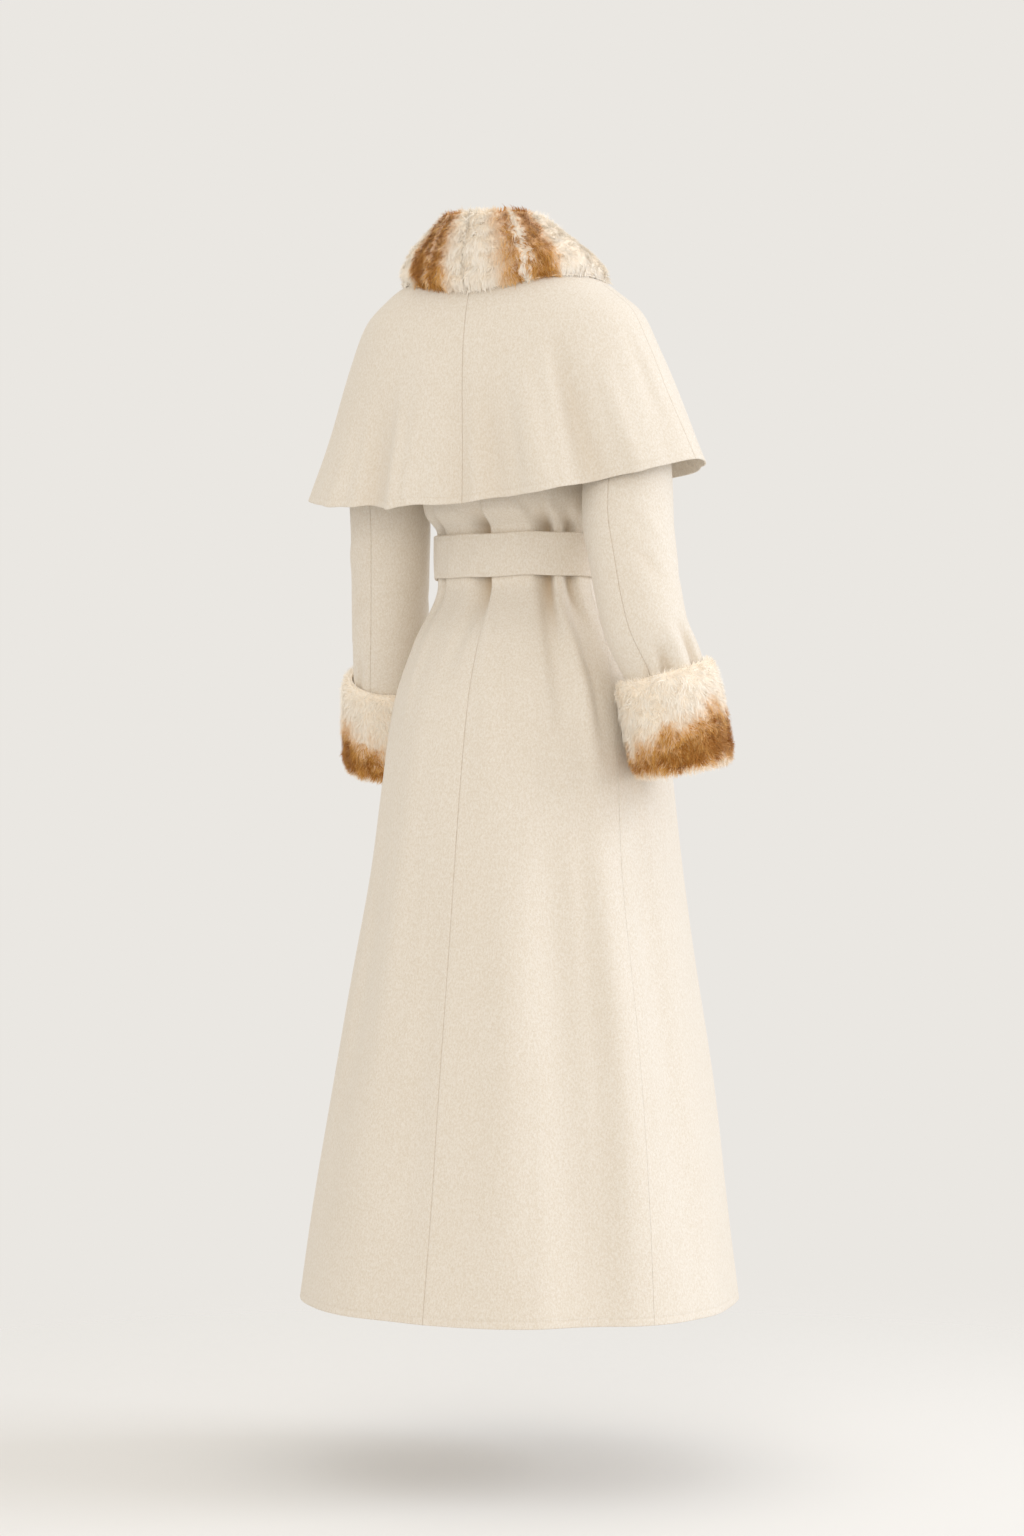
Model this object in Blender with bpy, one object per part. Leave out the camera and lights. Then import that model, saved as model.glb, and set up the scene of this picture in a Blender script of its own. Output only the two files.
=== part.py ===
"""A full-length belted wool coat with a shoulder cape, fur collar and fur cuffs, in its worn, hollow form.

Metres. The origin is on the garment's axis at the base of the neck; +Z is up, -Y the front and +X the
wearer's left. Angles go round the garment from the back centre, positive towards the wearer's left.
"""

from collections import namedtuple

import bpy
import numpy as np

# Cloth, fur and the space left at seams
CLOTH = 0.0022
SEAM_GAP = 0.0003
LAID_GAP = 0.0006
SLEEVE_HEAD_GAP = 0.0021
BELT_GAP = 0.0008
BELT_CLOTH = 0.0045

# Each ring of a garment's form: its heights at the back, side and front, half its width, its reach to
# the back and to the front of its centre, and that centre
Ring = namedtuple("Ring", "z_back z_side z_front half_width back front centre_x centre_y")

COAT_RINGS = (
    Ring(-0.003, -0.001, -0.0988, 0.0690, 0.0660, 0.0980, 0.000, 0.000),
    Ring(-0.060, -0.028, -0.122, 0.1250, 0.0860, 0.1120, 0.000, 0.000),
    Ring(-0.110, -0.052, -0.150, 0.1600, 0.0960, 0.1200, 0.000, 0.000),
    Ring(-0.150, -0.120, -0.175, 0.1480, 0.0990, 0.1240, 0.000, -0.002),
    Ring(-0.205, -0.205, -0.205, 0.1280, 0.1000, 0.1220, -0.001, -0.008),
    Ring(-0.270, -0.270, -0.270, 0.1250, 0.1000, 0.1120, -0.002, -0.020),
    Ring(-0.318, -0.318, -0.318, 0.1235, 0.0980, 0.0980, -0.004, -0.032),
    Ring(-0.342, -0.342, -0.342, 0.1160, 0.0860, 0.0870, -0.006, -0.044),
    Ring(-0.409, -0.409, -0.409, 0.1160, 0.0860, 0.0870, -0.007, -0.045),
    Ring(-0.486, -0.486, -0.486, 0.1480, 0.1296, 0.1300, -0.010, -0.047),
    Ring(-0.565, -0.565, -0.565, 0.1745, 0.1670, 0.1650, -0.012, -0.050),
    Ring(-0.814, -0.814, -0.814, 0.2105, 0.2070, 0.2120, -0.011, -0.050),
    Ring(-1.080, -1.080, -1.080, 0.2565, 0.2400, 0.2370, -0.010, -0.043),
    Ring(-1.354, -1.354, -1.354, 0.2965, 0.2704, 0.2567, -0.009, -0.035),
)
CAPE_RINGS = (
    Ring(0.000, 0.002, -0.096, 0.0718, 0.0688, 0.1065, 0.000, 0.000),
    Ring(-0.020, -0.008, -0.110, 0.1050, 0.0830, 0.1175, 0.000, 0.000),
    Ring(-0.042, -0.022, -0.124, 0.1430, 0.0930, 0.1260, 0.000, 0.000),
    Ring(-0.072, -0.036, -0.142, 0.1630, 0.1020, 0.1340, 0.000, 0.000),
    Ring(-0.112, -0.063, -0.168, 0.1938, 0.1090, 0.1410, 0.000, 0.000),
    Ring(-0.160, -0.110, -0.205, 0.2170, 0.1130, 0.1480, 0.000, 0.000),
    Ring(-0.235, -0.190, -0.250, 0.2480, 0.1180, 0.1570, 0.000, 0.000),
    Ring(-0.313, -0.275, -0.286, 0.2850, 0.1230, 0.1660, 0.000, 0.000),
)
CAPE_SIDE_TILT = 0.017          # the wearer's left side of the cape hangs lower, the right side higher

# Gathers that the belt pulls into the coat: where, how wide and deep, and how far they run
Gather = namedtuple("Gather", "angle half_width depth reach_up reach_down")

WAIST_GATHERS = (
    Gather(3, 9, 0.011, 0.050, 0.075),
    Gather(47, 9, 0.010, 0.045, 0.085),
    Gather(-41, 9, 0.010, 0.050, 0.110),
    Gather(-58, 8, 0.009, 0.045, 0.085),
    Gather(84, 12, 0.008, 0.045, 0.080),
    Gather(-88, 12, 0.008, 0.045, 0.080),
    Gather(116, 14, 0.009, 0.050, 0.090),
    Gather(-118, 14, 0.009, 0.050, 0.090),
    Gather(146, 14, 0.009, 0.050, 0.090),
    Gather(-144, 14, 0.009, 0.050, 0.090),
)
WAIST_DEPTH = 0.3755

# Soft flutes that grow towards a hem: where, how wide, how far out (or in) at the hem, where they begin
Flute = namedtuple("Flute", "angle half_width rise begins")

SKIRT_FLUTES = (
    Flute(-42, 13, -0.010, 0.430),
    Flute(-62, 16, 0.008, 0.420),
    Flute(-20, 18, 0.006, 0.700),
    Flute(10, 14, -0.004, 0.700),
    Flute(28, 18, 0.004, 0.800),
    Flute(-100, 20, -0.007, 0.600),
    Flute(-130, 18, 0.007, 0.600),
    Flute(95, 20, -0.005, 0.600),
    Flute(125, 20, 0.007, 0.600),
)
CAPE_FLUTES = (
    Flute(1, 8, -0.010, 0.070),
    Flute(15, 9, 0.009, 0.090),
    Flute(28, 7, -0.009, 0.120),
    Flute(-12, 9, -0.008, 0.100),
    Flute(-27, 10, 0.010, 0.110),
    Flute(-39, 8, -0.010, 0.100),
    Flute(52, 12, 0.005, 0.150),
    Flute(-58, 12, 0.005, 0.150),
    Flute(128, 14, 0.008, 0.140),
    Flute(-128, 14, 0.008, 0.140),
)

# Rows of points down each cloth, as depths of the back centre below the neck
COAT_ROWS_ABOVE = (0.003, 0.032, 0.060, 0.088)
COAT_ROWS_BODICE = (0.238, 0.278, 0.302, 0.324, 0.342, 0.3755, 0.409)
COAT_ROWS_SKIRT = (0.424, 0.446, 0.480, 0.520, 0.565, 0.650, 0.750, 0.870, 1.020, 1.185, 1.354)
CAPE_ROWS = (0.000, 0.019, 0.037, 0.054, 0.072, 0.092, 0.112, 0.160, 0.210, 0.262, 0.313)
COAT_BACK_COLUMNS = 13
COAT_FRONT_COLUMNS = 12
CAPE_COLUMNS = 16

# Seams, as angles
CAPE_SIDE_SEAM = 86.0
CAPE_FRONT_EDGE = 172.0
SideSeam = namedtuple("SideSeam", "depth angle")
COAT_SIDE_SEAM = (
    SideSeam(0.003, 90.0),
    SideSeam(0.206, 90.0),
    SideSeam(0.318, 80.0),
    SideSeam(0.409, 74.0),
    SideSeam(0.640, 64.5),
    SideSeam(1.354, 59.5),
)

# Armholes: an oval hole between the back and the front under each shoulder
ARMHOLE_DEPTH = 0.158
ARMHOLE_HALF_HEIGHT = 0.0475
ARMHOLE_HALF_ANGLE = 32.0
ARMHOLE_STEPS = 3

# The right front laps over the left one
LEFT_FRONT_EDGE = 192.0
RIGHT_FRONT_EDGE = 195.0
LAP_LIFT = 0.0045
LAP_BEGINS = 150.0
LAP_FULL = 163.0

# Sleeves: the arm's centre line and the sleeve's radius, from inside the armhole to the wrist
Arm = namedtuple("Arm", "z out y radius")
LEFT_ARM = (
    Arm(-0.215, 0.187, -0.018, 0.051),
    Arm(-0.323, 0.193, -0.048, 0.054),
    Arm(-0.380, 0.199, -0.059, 0.053),
    Arm(-0.470, 0.212, -0.082, 0.052),
    Arm(-0.585, 0.239, -0.131, 0.050),
    Arm(-0.670, 0.252, -0.157, 0.049),
)
RIGHT_ARM = (
    Arm(-0.215, 0.188, 0.006, 0.052),
    Arm(-0.323, 0.193, 0.020, 0.059),
    Arm(-0.380, 0.205, 0.031, 0.057),
    Arm(-0.470, 0.227, 0.040, 0.054),
    Arm(-0.527, 0.247, 0.027, 0.052),
    Arm(-0.585, 0.257, 0.018, 0.051),
    Arm(-0.670, 0.268, 0.004, 0.050),
)
CAP_TOP = 0.145                 # rows between these two run from the armhole's edge to the arm
CAP_FOOT = 0.215
CAP_BULGE = 0.012
SLEEVE_ROWS = (0.145, 0.160, 0.178, 0.196, 0.215, 0.260, 0.323, 0.380, 0.430, 0.480, 0.530, 0.580, 0.630)
SLEEVE_HALF_COLUMNS = 9

# Fur cuffs: a thick soft ring over the sleeve's end, as its section along the arm
CUFF_TOP = 0.530
CUFF_FOOT = 0.655
CUFF_COLUMNS = 22
CuffPoint = namedtuple("CuffPoint", "along fur")
CUFF_SECTION = (
    CuffPoint(0.02, 0.0008),
    CuffPoint(0.00, 0.0060),
    CuffPoint(0.02, 0.0120),
    CuffPoint(0.10, 0.0170),
    CuffPoint(0.35, 0.0190),
    CuffPoint(0.65, 0.0195),
    CuffPoint(0.88, 0.0180),
    CuffPoint(0.98, 0.0130),
    CuffPoint(1.00, 0.0070),
    CuffPoint(0.98, 0.0008),
    CuffPoint(0.80, 0.0008),
    CuffPoint(0.40, 0.0008),
)

# Fur collar: how high and how far out its crest stands, round from the back centre
Crest = namedtuple("Crest", "angle z out thickness")
COLLAR_CREST = (
    Crest(0, 0.070, 0.017, 0.0130),
    Crest(45, 0.071, 0.010, 0.0125),
    Crest(75, 0.066, 0.006, 0.0120),
    Crest(105, 0.045, 0.008, 0.0125),
    Crest(125, 0.021, 0.010, 0.0125),
    Crest(150, -0.024, 0.010, 0.0120),
    Crest(172, -0.056, 0.010, 0.0110),
)
COLLAR_ROWS = (0.019, 0.037)      # two of the cape's rows: the collar lies on the cape down to the second
COLLAR_STAND = 0.0065
COLLAR_BULGE = 0.012

# Belt
BELT_TOP = 0.3470
BELT_FOOT = 0.4040
BELT_COLUMNS = 60
KNOT_HALF_ANGLE = 13.0
KNOT_TOP = 0.3440
KNOT_FOOT = 0.4042
KNOT_BULGE = 0.014
BELT_END_WIDTH = 0.050
BELT_END_ANGLES = {"left": 168.0, "right": 191.0}
BELT_END_FOOT = {"left": 0.780, "right": 0.745}

CREAM = (0.80, 0.74, 0.62, 1.0)
FUR_CREAM = (0.74, 0.60, 0.42, 1.0)


def smooth(knots, values, at):
    """The curve through a table's rows that never swings past them."""
    knots = np.asarray(knots, float)
    values = np.asarray(values, float)
    at = np.clip(at, knots[0], knots[-1])
    step = np.diff(knots)
    slope = np.diff(values) / step
    tangent = np.empty_like(values)
    tangent[0] = slope[0]
    tangent[-1] = slope[-1]
    for k in range(1, len(values) - 1):
        before, after = slope[k - 1], slope[k]
        if before * after <= 0:
            tangent[k] = 0.0
        else:
            near = 2 * step[k] + step[k - 1]
            far = step[k] + 2 * step[k - 1]
            tangent[k] = (near + far) / (near / before + far / after)
    i = np.clip(np.searchsorted(knots, at, side="right") - 1, 0, len(step) - 1)
    u = (at - knots[i]) / step[i]
    return (
        values[i] * (1 + 2 * u) * (1 - u) ** 2
        + values[i + 1] * u * u * (3 - 2 * u)
        + step[i] * (tangent[i] * u * (1 - u) ** 2 + tangent[i + 1] * u * u * (u - 1))
    )


def column(table, name, knots, at):
    return smooth(knots, [getattr(row, name) for row in table], at)


def ease(low, high, value):
    u = np.clip((np.asarray(value, float) - low) / (high - low), 0.0, 1.0)
    return u * u * (3 - 2 * u)


def bump(offset, half_width):
    """A soft hump, one at its middle and nothing past its half width."""
    u = np.clip(np.abs(offset) / half_width, 0.0, 1.0)
    return (1 - u * u) ** 2


def turn_between(angle, other):
    return (angle - other + 180.0) % 360.0 - 180.0


def on_rings(table, angle, depth, level=4.0):
    """The point on a garment's plain form, and which way is straight out from it in plan.

    The higher the level, the more of a ring lies at its side height.
    """
    angle, depth = np.broadcast_arrays(np.asarray(angle, float), np.asarray(depth, float))
    knots = [-row.z_back for row in table]
    ring = {name: column(table, name, knots, depth) for name in Ring._fields}
    sine, cosine = np.sin(np.radians(angle)), np.cos(np.radians(angle))
    reach = np.where(cosine > 0, ring["back"], ring["front"])
    back_share = np.maximum(cosine, 0.0) ** level
    front_share = np.maximum(-cosine, 0.0) ** level
    z = ring["z_side"]
    z = z + (ring["z_back"] - ring["z_side"]) * back_share
    z = z + (ring["z_front"] - ring["z_side"]) * front_share
    x = ring["centre_x"] + ring["half_width"] * sine
    y = ring["centre_y"] + reach * cosine
    point = np.stack((x, y, z), axis=-1)
    out = np.stack((sine / ring["half_width"], cosine / reach, np.zeros_like(sine)), axis=-1)
    return point, out / np.linalg.norm(out, axis=-1, keepdims=True)


def flute_rise(flutes, angle, depth, foot):
    rise = np.zeros(np.broadcast(angle, depth).shape)
    for flute in flutes:
        grown = ease(flute.begins, foot, depth)
        rise = rise + flute.rise * grown * bump(turn_between(angle, flute.angle), flute.half_width)
    return rise


def gather_depth(angle, depth):
    pulled = np.zeros(np.broadcast(angle, depth).shape)
    for gather in WAIST_GATHERS:
        fade = np.where(
            depth < WAIST_DEPTH,
            1 - ease(0.0, gather.reach_up, BELT_TOP - depth),
            1 - ease(0.0, gather.reach_down, depth - BELT_FOOT),
        )
        spread = gather.half_width * (1 + 0.5 * (1 - fade))
        pulled = pulled + gather.depth * fade * bump(turn_between(angle, gather.angle), spread)
    return pulled


def coat_point(angle, depth):
    point, out = on_rings(COAT_RINGS, angle, depth)
    rise = flute_rise(SKIRT_FLUTES, angle, depth, -COAT_RINGS[-1].z_back) - gather_depth(angle, depth)
    return point + out * rise[..., None]


def plain_coat_point(angle, depth):
    return on_rings(COAT_RINGS, angle, depth)[0]


def cape_point(angle, depth):
    foot = -CAPE_RINGS[-1].z_back
    point, out = on_rings(CAPE_RINGS, angle, depth, 4.0 - 2.4 * ease(0.100, foot, depth))
    point = point + out * flute_rise(CAPE_FLUTES, angle, depth, foot)[..., None]
    point[..., 2] -= CAPE_SIDE_TILT * np.sin(np.radians(angle)) * ease(0.060, foot, depth)
    return point


def facing_out(surface, angle, depth, hand=1.0):
    """The outward normal of a surface given by an angle and a depth."""
    across = surface(angle + 0.2, depth) - surface(angle - 0.2, depth)
    down = surface(angle, depth + 0.0004) - surface(angle, depth - 0.0004)
    normal = np.cross(across, down) * hand
    return normal / np.linalg.norm(normal, axis=-1, keepdims=True)


def seam_turn(surface, angle, depth):
    """How far to turn from a seam to stand half its gap away."""
    speed = np.linalg.norm(surface(angle + 0.5, depth) - surface(angle - 0.5, depth), axis=-1)
    return 0.5 * SEAM_GAP / speed


def add_solid(name, points, faces, colour):
    mesh = bpy.data.meshes.new(name)
    mesh.from_pydata([tuple(point) for point in points], [], faces)
    mesh.update()
    corners = np.array(points)
    volume = 0.0
    for face in faces:
        a = corners[face[0]]
        for k in range(1, len(face) - 1):
            volume += np.dot(a, np.cross(corners[face[k]], corners[face[k + 1]]))
    if volume < 0:
        mesh.flip_normals()
    solid = bpy.data.objects.new(name, mesh)
    bpy.context.scene.collection.objects.link(solid)
    material = bpy.data.materials.new(name)
    material.use_nodes = True
    shader = material.node_tree.nodes["Principled BSDF"]
    shader.inputs["Base Color"].default_value = colour
    shader.inputs["Roughness"].default_value = 0.9
    mesh.materials.append(material)
    return solid


def wall_solid(name, outer, inner, colour):
    """A closed wall between two grids of points."""
    rows, columns = outer.shape[:2]
    behind = rows * columns

    def at(row, col, side):
        return side * behind + row * columns + col

    faces = []
    for row in range(rows - 1):
        for col in range(columns - 1):
            across = (row + 1, col + 1)
            faces.append((at(row, col, 0), at(row + 1, col, 0), at(*across, 0)))
            faces.append((at(row, col, 0), at(*across, 0), at(row, col + 1, 0)))
            faces.append((at(row, col, 1), at(*across, 1), at(row + 1, col, 1)))
            faces.append((at(row, col, 1), at(row, col + 1, 1), at(*across, 1)))
    rim = [(0, col) for col in range(columns)]
    rim += [(row, columns - 1) for row in range(1, rows)]
    rim += [(rows - 1, col) for col in range(columns - 2, -1, -1)]
    rim += [(row, 0) for row in range(rows - 2, 0, -1)]
    for here, there in zip(rim, rim[1:] + rim[:1]):
        if here < there:
            faces.append((at(*here, 0), at(*there, 0), at(*there, 1)))
            faces.append((at(*here, 0), at(*there, 1), at(*here, 1)))
        else:
            faces.append((at(*here, 0), at(*there, 0), at(*here, 1)))
            faces.append((at(*there, 0), at(*there, 1), at(*here, 1)))
    points = np.concatenate((outer.reshape(-1, 3), inner.reshape(-1, 3)))
    return add_solid(name, points, faces, colour)


def ring_solid(name, grid, colour):
    """A closed ring: a closed section (first index) carried round a closed loop (second index)."""
    sections, loop = grid.shape[:2]
    faces = []
    for i in range(sections):
        for k in range(loop):
            after, beside = (i + 1) % sections, (k + 1) % loop
            faces.append((i * loop + k, i * loop + beside, after * loop + beside, after * loop + k))
    return add_solid(name, grid.reshape(-1, 3), faces, colour)


def cloth_panel(name, surface, edges, depths, columns, lift=None):
    """A cloth wall over part of a surface; edges(depth) gives the two angles that it lies between."""
    depths = np.asarray(depths, float)
    first, last = edges(depths)
    share = np.linspace(0.0, 1.0, columns + 1)
    angle = first[:, None] + (last - first)[:, None] * share
    depth = np.repeat(depths[:, None], columns + 1, axis=1)
    normal = facing_out(surface, angle, depth)
    outer = surface(angle, depth)
    if lift is not None:
        outer = outer + normal * lift(angle)[..., None]
    return wall_solid(name, outer, outer - normal * CLOTH, CREAM)


def side_seam(depth):
    return smooth([row.depth for row in COAT_SIDE_SEAM], [row.angle for row in COAT_SIDE_SEAM], depth)


def armhole_angle(depth):
    """Half the armhole's width, as an angle, at a depth."""
    u = np.clip((depth - ARMHOLE_DEPTH) / ARMHOLE_HALF_HEIGHT, -1.0, 1.0)
    return ARMHOLE_HALF_ANGLE * np.sqrt(1 - u * u)


def lap_lift(angle):
    return LAP_LIFT * ease(LAP_BEGINS, LAP_FULL, np.abs(angle))


def coat_rows():
    steps = np.arange(-ARMHOLE_STEPS, ARMHOLE_STEPS + 1) / ARMHOLE_STEPS
    armhole = ARMHOLE_DEPTH + ARMHOLE_HALF_HEIGHT * np.sin(0.5 * np.pi * steps)
    return np.concatenate((COAT_ROWS_ABOVE, armhole, COAT_ROWS_BODICE, COAT_ROWS_SKIRT))


def build_coat():
    rows = coat_rows()
    for side, sign in (("left", 1.0), ("right", -1.0)):

        def back_edges(depth, sign=sign):
            seam = side_seam(depth)
            centre = seam_turn(coat_point, 0.0 * depth, depth)
            last = seam - armhole_angle(depth) - seam_turn(coat_point, sign * seam, depth)
            return sign * centre, sign * last

        def front_edges(depth, sign=sign):
            seam = side_seam(depth)
            first = seam + armhole_angle(depth) + seam_turn(coat_point, sign * seam, depth)
            edge = LEFT_FRONT_EDGE if sign > 0 else RIGHT_FRONT_EDGE
            return sign * first, sign * (edge + 0.0 * depth)

        cloth_panel("coat_back_" + side, coat_point, back_edges, rows, COAT_BACK_COLUMNS)
        lift = lap_lift if side == "right" else None
        cloth_panel("coat_front_" + side, coat_point, front_edges, rows, COAT_FRONT_COLUMNS, lift)


def build_cape():
    for side, sign in (("left", 1.0), ("right", -1.0)):

        def back_edges(depth, sign=sign):
            centre = seam_turn(cape_point, 0.0 * depth, depth)
            last = CAPE_SIDE_SEAM - seam_turn(cape_point, sign * CAPE_SIDE_SEAM + 0.0 * depth, depth)
            return sign * centre, sign * last

        def front_edges(depth, sign=sign):
            first = CAPE_SIDE_SEAM + seam_turn(cape_point, sign * CAPE_SIDE_SEAM + 0.0 * depth, depth)
            return sign * first, sign * (CAPE_FRONT_EDGE + 0.0 * depth)

        cloth_panel("cape_back_" + side, cape_point, back_edges, CAPE_ROWS, CAPE_COLUMNS)
        cloth_panel("cape_front_" + side, cape_point, front_edges, CAPE_ROWS, CAPE_COLUMNS)


def arm_frame(arm, sign, depth):
    """The arm's centre, its front and inner directions square to it, and the sleeve's radius."""
    knots = [-row.z for row in arm]

    def centre_at(where):
        out = column(arm, "out", knots, where)
        return np.stack((sign * out, column(arm, "y", knots, where), -where), axis=-1)

    depth = np.asarray(depth, float)
    along = centre_at(np.minimum(depth + 0.004, knots[-1])) - centre_at(np.maximum(depth - 0.004, knots[0]))
    along = along / np.linalg.norm(along, axis=-1, keepdims=True)
    front = np.array((0.0, -1.0, 0.0))
    front = front - along * np.sum(along * front, axis=-1, keepdims=True)
    front = front / np.linalg.norm(front, axis=-1, keepdims=True)
    inner = np.cross(along, front) * sign
    return centre_at(depth), front, inner, column(arm, "radius", knots, depth)


def round_arm(arm, sign, turn, depth, extra=0.0):
    """A point round the arm: turn 0 is the front, 90 the inner side, 180 the back, 270 the outer side."""
    turn, depth = np.broadcast_arrays(np.asarray(turn, float), np.asarray(depth, float))
    centre, front, inner, radius = arm_frame(arm, sign, depth)
    reach = (radius + extra)[..., None]
    cosine, sine = np.cos(np.radians(turn))[..., None], np.sin(np.radians(turn))[..., None]
    return centre + reach * (cosine * front + sine * inner)


def sleeve_head(sign, turn):
    """The sleeve's upper edge: the armhole's edge moved out of the coat's cloth."""
    cosine, sine = np.cos(np.radians(turn)), np.sin(np.radians(turn))
    angle = sign * (90.0 + ARMHOLE_HALF_ANGLE * cosine)
    depth = ARMHOLE_DEPTH + ARMHOLE_HALF_HEIGHT * sine
    normal = facing_out(coat_point, angle, depth)
    return coat_point(angle, depth) + normal * SLEEVE_HEAD_GAP


def build_sleeves():
    for side, sign, arm in (("left", 1.0, LEFT_ARM), ("right", -1.0, RIGHT_ARM)):

        def surface(turn, depth, sign=sign, arm=arm):
            share = np.clip((depth - CAP_TOP) / (CAP_FOOT - CAP_TOP), 0.0, 1.0)
            top = np.maximum(-np.sin(np.radians(turn)), 0.0)
            out = CAP_BULGE * top * np.sin(np.pi * share)
            bulge = np.stack((sign * out, 0.0 * out, 0.5 * out), axis=-1)
            arm_point = round_arm(arm, sign, turn, np.maximum(depth, CAP_FOOT))
            head = sleeve_head(sign, turn)
            return head + (arm_point - head) * share[..., None] + bulge

        for half, first_turn in (("upper", 180.0), ("under", 0.0)):
            depths = np.asarray(SLEEVE_ROWS)[:, None] + np.zeros((1, SLEEVE_HALF_COLUMNS + 1))
            clear = np.degrees(0.5 * SEAM_GAP / column(arm, "radius", [-row.z for row in arm], depths))
            share = np.linspace(0.0, 1.0, SLEEVE_HALF_COLUMNS + 1)
            turn = first_turn + clear + (180.0 - 2 * clear) * share
            normal = facing_out(surface, turn, np.maximum(depths, CAP_TOP + 0.0008), sign)
            outer = surface(turn, depths)
            wall_solid("sleeve_%s_%s" % (side, half), outer, outer - normal * CLOTH, CREAM)


def build_cuffs():
    turn = np.arange(CUFF_COLUMNS) * 360.0 / CUFF_COLUMNS
    for side, sign, arm in (("left", 1.0, LEFT_ARM), ("right", -1.0, RIGHT_ARM)):
        rings = []
        for point in CUFF_SECTION:
            depth = CUFF_TOP + (CUFF_FOOT - CUFF_TOP) * point.along
            rings.append(round_arm(arm, sign, turn, depth, point.fur))
        ring_solid("cuff_" + side, np.array(rings), FUR_CREAM)


def halfway(one, other):
    return 0.5 * (one + other)


def build_collar():
    back = np.linspace(0.0, CAPE_SIDE_SEAM, CAPE_COLUMNS + 1)
    front = np.linspace(CAPE_SIDE_SEAM, CAPE_FRONT_EDGE, CAPE_COLUMNS + 1)
    angles = np.concatenate((back, front[1:]))
    knots = [row.angle for row in COLLAR_CREST]
    crest_z = column(COLLAR_CREST, "z", knots, angles)
    crest_out = column(COLLAR_CREST, "out", knots, angles)
    fur = column(COLLAR_CREST, "thickness", knots, angles)[:, None]
    up = np.array((0.0, 0.0, 1.0))
    for side, sign in (("left", 1.0), ("right", -1.0)):
        angle = sign * angles
        angle[0] = sign * seam_turn(cape_point, np.zeros(1), np.zeros(1))[0]
        rim = cape_point(angle, 0.0 * angle)
        plan_out = on_rings(CAPE_RINGS, angle, 0.0 * angle)[1]
        rim_out = facing_out(cape_point, angle, 0.0 * angle + 0.0006)
        low_out = facing_out(cape_point, angle, COLLAR_ROWS[-1] + 0.0 * angle)

        # What lies against the neck edge and on the cape, from the neck outwards
        stand = rim - plan_out * COLLAR_STAND + up * 0.0015
        seat = rim + (rim_out + up) * LAID_GAP
        laid = []
        for row in COLLAR_ROWS:
            depth = row + 0.0 * angle
            laid.append(cape_point(angle, depth) + facing_out(cape_point, angle, depth) * LAID_GAP)

        # The fur's face, from the neck over the crest and down to its lower edge
        stand_top = stand - plan_out * 0.001 + up * (0.55 * (crest_z - rim[:, 2]))[:, None]
        crest = rim + plan_out * crest_out[:, None]
        crest[:, 2] = crest_z
        crest_inner = crest - plan_out * 0.009 - up * 0.006
        crest_outer = crest + plan_out * 0.009 - up * 0.008
        low_outer = laid[1] + low_out * fur
        upper = halfway(crest_outer, low_outer) + plan_out * COLLAR_BULGE
        lower = 0.25 * upper + 0.75 * low_outer + plan_out * 0.35 * COLLAR_BULGE
        foot = laid[1] + low_out * fur * 0.4 + (low_outer - upper) * 0.08

        inner = (stand, seat, halfway(seat, laid[0]), laid[0], halfway(*laid), laid[1], foot)
        outer = (stand_top, crest_inner, crest, crest_outer, upper, lower, low_outer)
        wall_solid("collar_" + side, np.stack(outer, axis=1), np.stack(inner, axis=1), FUR_CREAM)


def belt_lift(angle):
    """How far the lapped fronts push the belt out."""
    return LAP_LIFT * (1 - ease(180.0 - LAP_FULL, 180.0 - LAP_BEGINS, np.abs(turn_between(angle, 180.0))))


def on_belt(angle, depth, out):
    normal = facing_out(plain_coat_point, angle, 0.0 * depth + WAIST_DEPTH)
    reach = BELT_GAP + belt_lift(angle) + out
    return plain_coat_point(angle, depth) + normal * np.asarray(reach)[..., None]


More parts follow.
